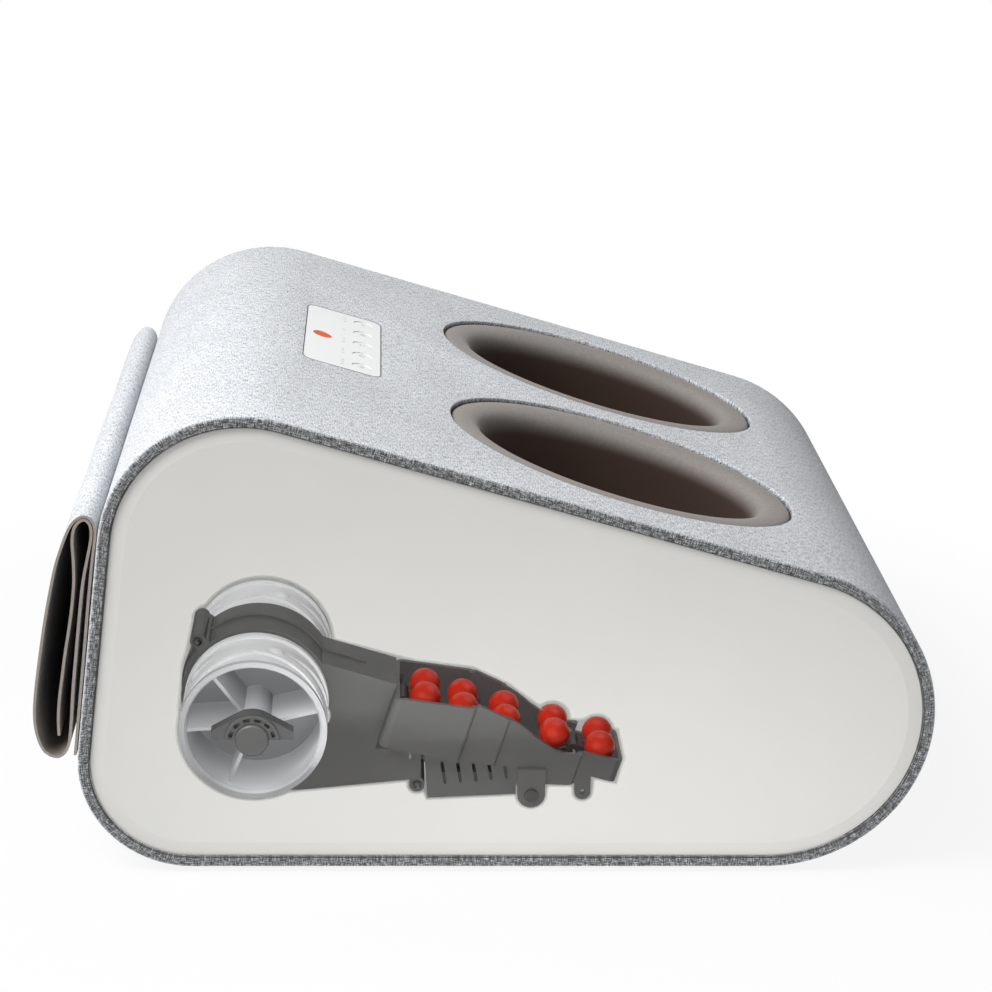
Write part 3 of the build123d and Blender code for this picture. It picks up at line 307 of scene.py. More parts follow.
class Nodes:
    """A node tree, with short calls that add and join its nodes."""

    def __init__(self, tree: bpy.types.NodeTree) -> None:
        """Takes up a tree."""
        self.tree = tree

    def feed(self, node: bpy.types.Node, socket: int | str, value: object) -> None:
        """Joins an output to an input, or sets the input to a plain value.

        Args:
            node: the node that is fed.
            socket: its input, by place or name.
            value: the output or the plain value.
        """
        if isinstance(value, Socket):
            self.tree.links.new(value, node.inputs[socket])
        else:
            node.inputs[socket].default_value = value

    def add(self, kind: str, *values: object, **settings: object) -> bpy.types.Node:
        """Adds a node, sets its own properties and feeds its first inputs.

        Args:
            kind: the node's type without the ShaderNode prefix.
            *values: what its first inputs get, as outputs or plain values.
            **settings: properties of the node.

        Returns:
            The new node.
        """
        node = self.tree.nodes.new("ShaderNode" + kind)
        for key, value in settings.items():
            setattr(node, key, value)
        for index, value in enumerate(values):
            self.feed(node, index, value)
        return node

    def sum(self, operation: str, *values: object) -> Socket:
        """Does one step of arithmetic on outputs or numbers."""
        return self.add("Math", *values, operation=operation).outputs[0]

    def vector(self, operation: str, *values: object) -> Socket:
        """Does one step of vector arithmetic that gives a vector."""
        return self.add("VectorMath", *values, operation=operation).outputs[0]

    def measure(self, operation: str, *values: object) -> Socket:
        """Does one step of vector arithmetic that gives a number."""
        return self.add("VectorMath", *values, operation=operation).outputs[1]

    def split(self, value: Socket) -> tuple[Socket, ...]:
        """Splits a vector into its three numbers."""
        return tuple(self.add("SeparateXYZ", value).outputs)

    def span(
        self, value: Socket, low: float, high: float, to_low: float, to_high: float
    ) -> Socket:
        """Maps a value smoothly from the range of low and high to another range."""
        ends = (low, high, to_low, to_high)
        return self.add("MapRange", value, *ends, interpolation_type="SMOOTHSTEP").outputs[0]

    def noise(self, spot: Socket, scale: float, detail: float = 2.0) -> Socket:
        """Adds a noise pattern.

        Args:
            spot: the coordinates.
            scale: how fine it is, in spots per metre.
            detail: its octaves.

        Returns:
            The pattern's value.
        """
        node = self.add("TexNoise", spot)
        self.feed(node, "Scale", scale)
        self.feed(node, "Detail", detail)
        return node.outputs[0]

    def streaks(self, spot: Socket, scale: Point3, detail: float = 2.0) -> Socket:
        """Adds a noise pattern that is finer along one axis than along another.

        Args:
            spot: the coordinates.
            scale: how fine it is along each axis, in spots per metre.
            detail: its octaves.

        Returns:
            The pattern's value.
        """
        stretched = self.add("Mapping", spot)
        self.feed(stretched, "Scale", scale)
        return self.noise(stretched.outputs[0], 1.0, detail)

    def ramp(self, value: Socket, stops: Iterable[tuple[float, Colour]]) -> Socket:
        """Colours a value.

        Args:
            value: what is coloured.
            stops: places from 0 to 1, each with its colour.

        Returns:
            The colour.
        """
        node = self.add("ValToRGB", value)
        band = node.color_ramp
        for index, (spot, colour) in enumerate(stops):
            stop = band.elements[index] if index < 2 else band.elements.new(spot)
            stop.position = spot
            stop.color = (*colour, 1.0)
        return node.outputs[0]

    def shades(
        self, value: Socket, colour: Colour, shares: Point2, band: Point2 = NOISE_BAND
    ) -> Socket:
        """Colours a value in a darker and a lighter shade of one colour.

        Args:
            value: what is coloured.
            colour: the colour between the two.
            shares: the light of each shade, as a share of the colour's.
            band: the values at which the shades stand.

        Returns:
            The colour.
        """
        stops = [
            (spot, tuple(min(1.0, part * share) for part in colour))
            for spot, share in zip(band, shares)
        ]
        return self.ramp(value, stops)

    def tint(self, share: object, first: object, second: object, blend: str = "MIX") -> Socket:
        """Mixes two colours.

        Args:
            share: how much of the second shows.
            first: the first colour.
            second: the second colour.
            blend: the way they mix.

        Returns:
            The mixed colour.
        """
        node = self.add("Mix", share, data_type="RGBA", blend_type=blend)
        for socket, colour in ((6, first), (7, second)):
            self.feed(node, socket, (*colour, 1.0) if isinstance(colour, tuple) else colour)
        return node.outputs[2]

    def seen(self) -> Socket:
        """Tells what the camera sees, also in a reflection or through a clear piece.

        Returns:
            The number 1 for what it sees, and else 0.
        """
        rays = self.add("LightPath").outputs
        straight = self.sum("MAXIMUM", rays["Is Camera Ray"], rays["Is Glossy Ray"])
        return self.sum("MAXIMUM", straight, rays["Is Transmission Ray"])

    def show(self, share: Socket, plain: Socket, bright: Socket, output: str) -> None:
        """Mixes two shaders by a share of the second, and joins the mix to the output node."""
        mix = self.add("MixShader", share, plain, bright)
        self.feed(self.tree.nodes[output], "Surface", mix.outputs[0])


class Board(Nodes):
    """The node tree of one material, around its Principled shader."""

    def __init__(self, name: str) -> None:
        """Starts an empty material.

        Args:
            name: the material's name.
        """
        self.material = bpy.data.materials.new(name)
        self.material.use_nodes = True
        super().__init__(self.material.node_tree)
        self.shader = self.tree.nodes["Principled BSDF"]

    def spot(self) -> Socket:
        """Gives the shaded point's place in the object's coordinates."""
        return self.add("TexCoord").outputs["Object"]

    def laid(self, name: str) -> Socket:
        """Gives the shaded point's place on one of the object's UV maps."""
        return self.add("UVMap", uv_map=name).outputs[0]

    def bump(self, height: Socket, strength: float, distance: float) -> None:
        """Raises the surface by a height pattern.

        Args:
            height: the pattern, from 0 to 1.
            strength: the share of it that shows.
            distance: how high it is, in metres.
        """
        node = self.add("Bump")
        for name, value in (("Strength", strength), ("Distance", distance), ("Height", height)):
            self.feed(node, name, value)
        self.feed(self.shader, "Normal", node.outputs[0])

    def set(self, **values: object) -> None:
        """Feeds the shader's inputs, named with underscores for spaces."""
        for key, value in values.items():
            self.feed(self.shader, key.replace("_", " ").title().replace("Ior", "IOR"), value)


@dataclass(frozen=True)
class HeatherCloth:
    """Linen-look cloth of mixed light and dark threads, laid out by a UV map in metres.

    The shades are painted shade where it turns in, and a painted shadow line by the side panel:
    each has a start and an end in metres, and a depth.
    """

    name: str
    # painted shade over the turn, then a painted shadow line by the side panel
    shades: tuple[Point3, ...] = ((-1.5 * MM, 2.2 * MM, 0.15), (5.7 * MM, 6.4 * MM, 0.16))
    stops: tuple[tuple[float, Colour], ...] = (
        (0.30, (0.045, 0.044, 0.042)),
        (0.41, (0.28, 0.29, 0.305)),
        (0.49, (0.61, 0.63, 0.66)),
        (0.60, (0.86, 0.885, 0.92)),
    )
    thread: float = 0.9 * MM
    thread_scales: Point2 = (250, 1650)
    thread_weight: float = 0.39
    speck_scale: float = 1900.0
    speck_weight: float = 0.22
    weave_weight: float = 0.05
    weave_height: float = 0.4
    patch_scale: float = 26.0
    patch_light: Point2 = (0.95, 1.03)
    height: float = 0.3 * MM

    def material(self) -> Material:
        """Builds the cloth's material.

        Returns:
            The material.
        """
        board = Board(self.name)
        laid = board.laid("weave")
        long, short = self.thread_scales
        along = board.streaks(laid, (long, short, 1))
        across = board.streaks(laid, (short, long, 1))
        specks = board.noise(laid, self.speck_scale, 1.0)
        threads = board.sum("MULTIPLY", board.sum("ADD", along, across), self.thread_weight)
        mixed = board.sum("MULTIPLY_ADD", specks, self.speck_weight, threads)
        turns = math.tau / self.thread
        warp, weft = (
            board.sum("SINE", board.sum("MULTIPLY", side, turns)) for side in board.split(laid)[:2]
        )
        weave = board.sum("MULTIPLY_ADD", board.sum("MULTIPLY", warp, weft), 0.5, 0.5)
        level = board.sum("SUBTRACT", weave, 0.5)
        value = board.sum("MULTIPLY_ADD", level, self.weave_weight, mixed)
        # painted shade and painted shadow, by how far each point turns in
        if self.shades:
            inset = board.split(board.laid("turned"))[0]
            for start, end, depth in self.shades:
                value = board.sum("SUBTRACT", value, board.span(inset, start, end, 0.0, depth))
        patches = board.noise(laid, self.patch_scale, 3.0)
        light = board.span(patches, *NOISE_BAND, *self.patch_light)
        grey = board.add("CombineColor", light, light, light).outputs[0]
        board.set(
            base_color=board.tint(1.0, board.ramp(value, self.stops), grey, "MULTIPLY"),
            roughness=0.92,
            sheen_weight=0.1,
            sheen_roughness=0.5,
        )
        board.bump(board.sum("MULTIPLY_ADD", weave, self.weave_height, mixed), 0.5, self.height)
        return board.material


@dataclass(frozen=True)
class BrushedKnit:
    """Fine matt cloth with a soft nap, with painted shade that can darken it down into a throat."""

    name: str
    colour: Colour
    down: Point3 = (0.0, 0.0, 0.0)
    start: float = 0.0
    end: float = 1.0
    # the colour of the painted shade down in a throat
    throat_shade: Colour = (0.028, 0.0115, 0.0065)
    light: Point2 = (0.86, 1.12)
    band: Point2 = (0.32, 0.68)
    fine_scale: float = 1300.0
    fine_weight: float = 0.6
    nap_scale: float = 420.0
    height: float = 0.15 * MM

    def material(self) -> Material:
        """Builds the knit's material.

        Returns:
            The material.
        """
        board = Board(self.name)
        spot = board.spot()
        fine = board.noise(spot, self.fine_scale)
        nap = board.sum("MULTIPLY", board.noise(spot, self.nap_scale), 1 - self.fine_weight)
        mixed = board.sum("MULTIPLY_ADD", fine, self.fine_weight, nap)
        cloth = board.shades(mixed, self.colour, self.light, self.band)
        # painted shade: darker with depth along the down direction
        depth = board.measure("DOT_PRODUCT", spot, self.down)
        sunk = board.span(depth, self.start, self.end, 0.0, 1.0)
        board.set(
            base_color=board.tint(sunk, cloth, self.throat_shade),
            roughness=0.88,
            sheen_weight=0.12,
            sheen_roughness=0.4,
        )
        board.bump(fine, 0.35, self.height)
        return board.material


@dataclass(frozen=True)
class MouldedPlastic:
    """Injection-moulded plastic with a faint spark-eroded grain and slightly uneven gloss."""

    name: str
    colour: Colour
    roughness: float = 0.42
    grain: float = 0.12
    coat: float = 0.0
    uneven: float = 0.05
    specular: float = 0.5
    smudge: float = 0.06
    cloud_scale: float = 18.0
    smudge_scale: float = 45.0
    grain_scale: float = 2200.0
    height: float = 0.08 * MM

    def board(self) -> Board:
        """Builds the plastic's nodes.

        Returns:
            The material's board.
        """
        board = Board(self.name)
        spot = board.spot()
        cloud = board.noise(spot, self.cloud_scale, 3.0)
        gloss = (self.roughness - self.smudge, self.roughness + self.smudge)
        board.set(
            base_color=board.shades(cloud, self.colour, (1.0 - self.uneven, 1.0 + self.uneven)),
            roughness=board.span(
                board.noise(spot, self.smudge_scale, 4.0), *NOISE_BAND, *gloss
            ),
            coat_weight=self.coat,
            coat_roughness=0.15,
            specular_ior_level=self.specular,
        )
        board.bump(board.noise(spot, self.grain_scale), self.grain, self.height)
        return board

    def material(self) -> Material:
        """Builds the plastic's material."""
        return self.board().material


@dataclass(frozen=True)
class Stretch:
    """A rounded stretch of the clear area: two centres in the panel's plane, and their radii."""

    start: Point2
    end: Point2
    start_radius: float
    end_radius: float


@dataclass(frozen=True)
class ClearPanel:
    """Panel plastic that turns clear over the mechanism, with a soft edge."""

    plastic: MouldedPlastic
    stretches: tuple[Stretch, ...]
    patches: tuple[tuple[Point2, ...], ...]
    soft: float = 1.2 * MM
    blend: float = 2.0 * MM
    faces: Point2 = (0.1895, 0.1905)
    margin: float = 6 * MM

    def beside_patch(self, board: Board, flat: Socket, patch: Sequence[Point2]) -> Socket:
        """Measures how far outside a convex patch the surface lies.

        Args:
            board: the material's nodes.
            flat: the coordinates in the panel's plane.
            patch: the patch's corners in order.

        Returns:
            The distance, below zero inside.
        """
        middle = sum((Vector(corner) for corner in patch), Vector((0, 0))) / len(patch)
        far = None
        for first, second in zip(patch, (*patch[1:], patch[0])):
            side = Vector(second) - Vector(first)
            normal = Vector((side.y, -side.x)).normalized()
            if normal.dot(middle - Vector(first)) > 0:
                normal.negate()
            along = board.measure("DOT_PRODUCT", flat, (normal.x, 0, normal.y))
            distance = board.sum("SUBTRACT", along, normal.dot(Vector(first)))
            far = distance if far is None else board.sum("MAXIMUM", far, distance)
        return far

    def beside_stretch(self, board: Board, flat: Socket, stretch: Stretch) -> Socket:
        """Measures how far outside a rounded stretch the surface lies.

        Args:
            board: the material's nodes.
            flat: the coordinates in the panel's plane.
            stretch: the stretch.

        Returns:
            The distance, below zero inside.
        """
        (low_x, low_z), (high_x, high_z) = stretch.start, stretch.end
        run = Vector((high_x - low_x, 0, high_z - low_z))
        offset = board.vector("SUBTRACT", flat, (low_x, 0, low_z))
        share = board.measure("DOT_PRODUCT", offset, tuple(run / run.length_squared))
        share = board.add("Clamp", share).outputs[0]
        along = board.add("VectorMath", tuple(run), operation="SCALE")
        board.feed(along, "Scale", share)
        length = board.measure("LENGTH", board.vector("SUBTRACT", offset, along.outputs[0]))
        growth = stretch.end_radius - stretch.start_radius
        radius = board.sum("MULTIPLY_ADD", share, growth, stretch.start_radius)
        return board.sum("SUBTRACT", length, radius)

    def material(self) -> Material:
        """Builds the panel's material.

        Returns:
            The material.
        """
        board = self.plastic.board()
        spot = board.spot()
        flat = board.vector("MULTIPLY", spot, (1, 0, 1))
        first, *rest = (self.beside_stretch(board, flat, stretch) for stretch in self.stretches)
        reach = first
        for distance in (*rest, *(self.beside_patch(board, flat, patch) for patch in self.patches)):
            reach = board.sum("SMOOTH_MIN", reach, distance, self.blend)
        across = board.sum("ABSOLUTE", board.split(spot)[1])
        inside = board.span(across, *self.faces, self.margin, 0.0)
        reach = board.sum("SUBTRACT", reach, inside)
        board.set(alpha=board.span(reach, -self.soft, self.soft, 0.0, 1.0))
        return board.material


@dataclass(frozen=True)
class MilkyPlastic:
    """White translucent plastic of the drums, with painted shade: greyer at their ends and in the
    bore, darker far inside and lighter at the hub.

    Each pair tells where a change starts and ends, from the axis or from the bay's middle.
    """

    name: str
    colour: Colour = (0.93, 0.935, 0.945)
    # the two colours below are painted shade: the ends and bore, then far inside
    edge: Colour = (0.56, 0.566, 0.578)
    web_shade: Colour = (0.29, 0.292, 0.297)
    bore: Point2 = (0.0368, 0.0374)
    hub: Point2 = (0.0094, 0.0098)
    hub_share: float = 0.35
    depth: Point2 = (0.0245, 0.062)
    front: Point2 = (0.0608, 0.0622)
    cloud_scale: float = 30.0
    cloud: float = 0.04

    def material(self) -> Material:
        """Builds the drums' material, with painted shade that darkens it far inside each drum.

        Returns:
            The material.
        """
        board = Board(self.name)
        spot = board.spot()
        flat = board.vector("MULTIPLY", spot, (1, 0, 1))
        radius = board.measure("LENGTH", board.vector("SUBTRACT", flat, (AXLE[0], 0, AXLE[1])))
        across = board.sum("SUBTRACT", board.sum("ABSOLUTE", board.split(spot)[1]), BAY)
        across = board.sum("ABSOLUTE", across)
        # painted shade in the bore, growing towards the drum's far inside and lighter at the hub
        inside = board.span(radius, *self.bore, 1.0, 0.0)
        clear_of_hub = board.span(radius, *self.hub, self.hub_share, 1.0)
        sunk = board.span(across, *self.depth, 1.0, 0.0)
        share = board.sum("MULTIPLY", board.sum("MULTIPLY", inside, clear_of_hub), sunk)
        cloud = board.noise(spot, self.cloud_scale)
        share = board.sum("ADD", share, board.span(cloud, *NOISE_BAND, 0.0, self.cloud))
        # painted shade: greyer at the drums' ends and in the bore
        grey = board.sum("MAXIMUM", board.span(across, *self.front, 0.0, 1.0), inside)
        pale = board.tint(grey, self.colour, self.edge)
        board.set(base_color=board.tint(share, pale, self.web_shade), roughness=0.42)
        return board.material


@dataclass(frozen=True)
class NodeRubber:
    """Glossy translucent red rubber of the kneading nodes."""

    name: str
    colour: Colour = (0.80, 0.045, 0.02)

    def material(self) -> Material:
        """Builds the nodes' material.

        Returns:
            The material.
        """
        board = MouldedPlastic(self.name, self.colour, 0.33, 0.02, 0.1, uneven=0.08).board()
        board.set(
            subsurface_weight=0.25, subsurface_radius=(1.0, 0.2, 0.1), subsurface_scale=4 * MM
        )
        return board.material


@dataclass(frozen=True)
class TurnedSteel:
    """Bright steel with fine turning marks."""

    name: str
    colour: Colour = (0.56, 0.56, 0.57)
    roughness: float = 0.3
    light: Point2 = (0.85, 1.1)
    gloss: Point2 = (-0.08, 0.1)
    mark_scales: Point3 = (60, 1800, 60)
    height: float = 0.05 * MM

    def material(self) -> Material:
        """Builds the steel's material.

        Returns:
            The material.
        """
        board = Board(self.name)
        marks = board.streaks(board.spot(), self.mark_scales, 3.0)
        gloss = (self.roughness + change for change in self.gloss)
        board.set(
            base_color=board.shades(marks, self.colour, self.light),
            roughness=board.span(marks, *NOISE_BAND, *gloss),
            metallic=1.0,
        )
        board.bump(marks, 0.1, self.height)
        return board.material


PANEL = MouldedPlastic("panel_plastic", (0.625, 0.62, 0.595), 0.38, 0.05, 0.1, 0.01)
FINISHES = (
    HeatherCloth("heather_cloth"),
    HeatherCloth("cover_heather", shades=()),
    BrushedKnit("cover_lining", (0.19, 0.16, 0.14)),
    BrushedKnit("cover_binding", (0.30, 0.262, 0.235)),
    MouldedPlastic("shell_plastic", (0.10, 0.095, 0.09), 0.6),
    MouldedPlastic("base_plastic", (0.66, 0.66, 0.64), 0.6, uneven=0.0),
    MouldedPlastic("divider_plastic", (0.66, 0.66, 0.64), 0.6, uneven=0.0),
    MouldedPlastic("mechanism_plastic", (0.16, 0.159, 0.157), grain=0.15, uneven=0.02),
    MouldedPlastic("bearing_plastic", (0.078, 0.0775, 0.0765), grain=0.15, uneven=0.02),
    MilkyPlastic("drum_plastic"),
    NodeRubber("node_rubber"),
    MouldedPlastic("rocker_plastic", (0.07, 0.07, 0.075), 0.45),
    MouldedPlastic("gear_plastic", (0.72, 0.69, 0.60), 0.4),
    TurnedSteel("turned_steel"),
    TurnedSteel("motor_can_steel", (0.45, 0.46, 0.47), 0.4),
    MouldedPlastic("control_plastic", (0.83, 0.845, 0.84), 0.35, 0.03, 0.1, 0.005),
    MouldedPlastic("button_plastic", (0.83, 0.84, 0.835), 0.35, 0.03, 0.1, 0.005),
    MouldedPlastic("power_plastic", (0.76, 0.125, 0.02), 0.5, 0.03, 0.0, 0.03, specular=0.04),
    MouldedPlastic("mark_ink", (0.32, 0.31, 0.29), 0.5, 0.02),
    MouldedPlastic("lens_plastic", (0.60, 0.60, 0.58), 0.3, 0.02, 0.1),
    MouldedPlastic("board_laminate", (0.02, 0.09, 0.05), 0.4),
    MouldedPlastic("foot_rubber", (0.03, 0.03, 0.03), 0.7, 0.3),
    # a dark finish for the strip that stands in for the shadow round the control panel
    MouldedPlastic("seal_rubber", (0.035, 0.034, 0.033), 0.7, 0.1),
    MouldedPlastic("inlet_plastic", (0.02, 0.02, 0.02), 0.3, 0.05, 0.3),
    TurnedSteel("screw_steel", (0.20, 0.20, 0.205), 0.35),
)


class Shelf:
    """All the finishes by their names, each built once."""

    def __init__(self) -> None:
        """Builds every material."""
        self.materials = {look.name: look.material() for look in FINISHES}

    def __getitem__(self, name: str) -> Material:
        """Gives the material of one finish."""
        return self.materials[name]

    def dress_all(self, looks: dict[str, str], ending: str = "") -> None:
        """Gives each node its finish. The ending follows in every node's name."""
        for node, look in looks.items():
            dress(node + ending, self[look])

    def collar(self, deck: Matrix, start: float = 2.2 * MM, end: float = 15 * MM) -> Material:
        """Builds the collars' knit, with painted shade that darkens it along the deck's normal down
        into the throat.

        Args:
            deck: the sloping deck's frame.
            start: the depth at which the painted shade starts.
            end: the depth at which it ends.

        Returns:
            The knit's material.
        """
        down = -deck.col[2].to_3d()
        level = down.dot(deck.translation)
        knit = BrushedKnit(
            "collar_knit", (0.285, 0.26, 0.243), tuple(down), level + start, level + end
        )
        return knit.material()


# The housing


@dataclass(frozen=True)
class Outline:
    """The housing's side profile: three circles, as x, z and radius, and the lines between."""

    heel: Point3 = (0.15815, 0.0924, 0.0894)
    toe_top: Point3 = (-0.13065, 0.1869, 0.0778)
    toe_low: Point3 = (-0.16095, 0.0645, 0.0615)
    step: float = 0.5 * MM
    turn: float = 1.5 * MM

    def normal(self, first: Point3, second: Point3) -> Vector:
        """Gives the outward normal of the line that touches two circles.

        Args:
            first: the first circle.
            second: the next circle, anticlockwise.

        Returns:
            A unit vector of x and z.
        """
        run = Vector((second[0] - first[0], second[1] - first[1]))
        lean = (first[2] - second[2]) / run.length
        across = math.sqrt(1 - lean**2)
        run.normalize()
        return Vector((run.x * lean + run.y * across, run.y * lean - run.x * across))

    def seat(self, circle: Point3, normal: Vector) -> Matrix:
        """Gives the place of the point where a line with this normal touches a circle."""
        x, z, radius = circle
        return Matrix.Translation((x + radius * normal.x, 0, z + radius * normal.y))

    def deck(self) -> Matrix:
        """Gives the frame of the sloping deck.

        Returns:
            A frame with x down the slope and z out of it.
        """
        normal = self.normal(self.heel, self.toe_top)
        axes = Matrix(((normal.y, 0, normal.x), (0, 1, 0), (-normal.x, 0, normal.y)))
        return self.seat(self.toe_top, normal) @ axes.to_4x4()

    def wall(self) -> Matrix:
        """Gives the frame of the toe wall.

        Returns:
            A frame with x up the wall, y out of it and z towards the near side.
        """
        normal = self.normal(self.toe_top, self.toe_low)
        axes = Matrix(((normal.y, normal.x, 0), (0, 0, -1), (-normal.x, normal.y, 0)))
        return self.seat(self.toe_low, normal) @ axes.to_4x4()

    def track(self) -> list[Vector]:
        """Samples the outline at even steps.

        Returns:
            Points of x and z, anticlockwise from the toe seam.
        """
        circles = (self.toe_low, self.heel, self.toe_top)
        points: list[Vector] = []
        for index, circle in enumerate(circles):
            x, z, radius = circle
            enter = self.normal(circles[index - 1], circle)
            leave = self.normal(circle, circles[(index + 1) % 3])
            start, end = (math.atan2(side.y, side.x) for side in (enter, leave))
            if end < start:
                end += math.tau
            count = max(2, int((end - start) * radius / self.step))
            for turn in range(count + 1):
                angle = start + (end - start) * turn / count
                points.append(
                    Vector((x + radius * math.cos(angle), z + radius * math.sin(angle)))
                )
        even: list[Vector] = []
        for point, following in zip(points, (*points[1:], points[0])):
            pieces = max(1, round((following - point).length / self.step))
            even.extend(point.lerp(following, part / pieces) for part in range(pieces))
        return even

    def weave_map(self, piece: Piece) -> None:
        """Lays a wrap's two UV maps, in metres.

        One runs along the outline and across the body, the other tells how far a point turns in,
        which places the cloth's painted shade.

        Args:
            piece: the wrap that the cloth's threads follow.
        """
        track = self.track()
        tree = KDTree(len(track))
        lengths = [0.0]
        for index, point in enumerate(track):
            tree.insert((point.x, 0.0, point.y), index)
            if index:
                lengths.append(lengths[-1] + (point - track[index - 1]).length)
        tree.balance()
        layer = piece.data.uv_layers.new(name="weave")
        turned = piece.data.uv_layers.new(name="turned")
        places, insets = [], []
        for corner in piece.data.vertices:
            spot = corner.co
            _, index, inset = tree.find((spot.x, 0.0, spot.z))
            places.append((lengths[index], spot.y + math.copysign(inset, spot.y)))
            insets.append(inset - min(HALF_WIDTH - abs(spot.y), self.turn))
        for loop in piece.data.loops:
            turned.data[loop.index].uv = (insets[loop.vertex_index], 0.0)
        for face in piece.data.polygons:
            laid = [places[piece.data.loops[loop].vertex_index] for loop in face.loop_indices]
            far = max(u for u, _ in laid)
            for loop, (u, v) in zip(face.loop_indices, laid):
                layer.data[loop].uv = (u + lengths[-1] if far - u > lengths[-1] / 2 else u, v)


@dataclass
class Wrap:
    """The heather cloth that is stretched over the housing, in an upper and a lower piece."""

    outline: Outline
    middle: float = 0.11
    turn: float = 2.1 * MM
    turn_segments: int = 5
    hem: float = 0.25
    cuts: int = 60
    near_rim: float = 0.05 * MM
    near_outline: float = 1.6 * MM
    thinning: int = 4

    def __post_init__(self) -> None:
        """Samples the outline, to find the edges that lie on it."""
        self.rough = self.outline.track()[:: self.thinning]

    def at_rim(self, across: float) -> bool:
        """Says whether a place across the body is on a rim."""
        return abs(across) > HALF_WIDTH - self.near_rim

    def is_rim(self, face: bmesh.types.BMFace) -> bool:
        """Says whether a face is part of a flat rim."""
        return abs(face.normal.y) > 0.999 and self.at_rim(face.calc_center_median().y)

    def at_corner(self, spot: Vector) -> bool:
        """Says whether a point is where a rim meets the outline.

        Args:
            spot: a point of the wrap.

        Returns:
            Whether it is.
        """
        flat = Vector((spot.x, spot.z))
        return self.at_rim(spot.y) and any(
            (flat - point).length <= self.near_outline for point in self.rough
        )

    def share(self, first: Vector, second: Vector) -> float:
        """Gives the outer edges a wide turn and the others a narrow one."""
        return 1.0 if self.at_corner(first) and self.at_corner(second) else self.hem

    def cut_rims(self, piece: Piece) -> None:
        """Cuts the flat rims into short lengths, so that their maps follow the outline.

        Args:
            piece: the rounded wrap.
        """
        edit(piece)
        for cut in range(self.cuts):
            angle = math.pi * cut / self.cuts
            select_where(piece, "faces", self.is_rim)
            bpy.ops.mesh.bisect(
                plane_co=(0, 0, self.middle), plane_no=(math.cos(angle), 0, math.sin(angle))
            )
        bpy.ops.object.mode_set(mode="OBJECT")

    def make(self, shelf: Shelf) -> None:
        """Makes both pieces of the wrap.

        Args:
            shelf: the finishes.
        """
        for node, slot, shell, width, length, area in (
            ("upper_fabric", "heather_fabric", "top_cover", 0.398, 0.79, 0.25),
            ("lower_fabric", "base_fabric", "base_shell", 0.398, 0.48, 0.185),
        ):
            piece = merged_copy(node)
            round_edges(piece, self.turn, self.turn_segments, self.share, clamp=False)
            self.cut_rims(piece)
            smooth(piece, 40)
            self.outline.weave_map(piece)
            name = node.replace("fabric", "wrap")
            finish(piece, name, "housing", [shelf["heather_cloth"]])
            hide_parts(node)


@dataclass
class FootCollar:
    """A soft funnel in a foot opening, modelled on the deck and set into its slope.

    Its section is drawn as points, each with its inset from the opening's edge and its height
    over the deck in millimetres.
    """

    side: Side
    centre: float = 197.0 * MM
    offset: float = 87.0 * MM
    half_length: float = 103.0 * MM
    half_width: float = 78.0 * MM
    segments: int = 96
    section: tuple[Point2, ...] = (
        (-5.6, -9.1), (-5.6, -6.9), (0.5, -6.8), (0.6, -4.0), (1.2, -2.4), (2.8, -1.3),
        (5.8, -0.8), (9.6, -0.8), (13.2, -1.3), (16.4, -2.6), (18.8, -4.8), (20.3, -8.0),
        (21.1, -12.0), (21.3, -17.0), (20.6, -26.0), (19.2, -36.0), (18.1, -44.4), (17.3, -45.8),
        (15.5, -45.8), (15.2, -43.5), (15.2, -29.5), (12.0, -24.0), (5.0, -16.0), (-2.0, -9.9),
    )  # fmt: skip

    def radii(self, inset: float) -> Point2:
        """Gives the two half axes of the ring at an inset."""
        return self.half_length - inset * MM, self.half_width - inset * MM

    def make(self, knit: Material, deck: Matrix) -> None:
        """Makes the collar.

        Args:
            knit: its finish.
            deck: the sloping deck's frame.
        """
        piece = fresh(
            bpy.ops.mesh.primitive_circle_add,
            vertices=self.segments,
            radius=1.0,
            fill_type="NOTHING",
        )
        inset, height = self.section[0]
        piece.scale = (*self.radii(inset), 1)
        piece.location = (0, 0, height * MM)
        settle(piece)
        edit(piece)
        for (before, low), (inset, height) in zip(self.section, self.section[1:]):
            (was_long, was_wide), (long, wide) = self.radii(before), self.radii(inset)
            bpy.ops.mesh.extrude_region_move(
                TRANSFORM_OT_translate={"value": (0, 0, (height - low) * MM)}
            )
            bpy.ops.transform.resize(
                value=(long / was_long, wide / was_wide, 1), center_override=(0, 0, 0)
            )
        bpy.ops.mesh.select_all(action="DESELECT")
        bpy.ops.mesh.select_non_manifold()
        bpy.ops.mesh.bridge_edge_loops()
        close_up(piece)
        modify(piece, "SUBSURF", levels=1, render_levels=1)
        spot = (self.centre, self.side.sign * self.offset, 0)
        place(piece, deck @ Matrix.Translation(spot))
        smooth(piece, 60)
        name = f"foot_collar_{self.side.value}"
        finish(piece, name + "_knit", "housing", [knit])
        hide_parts(name)


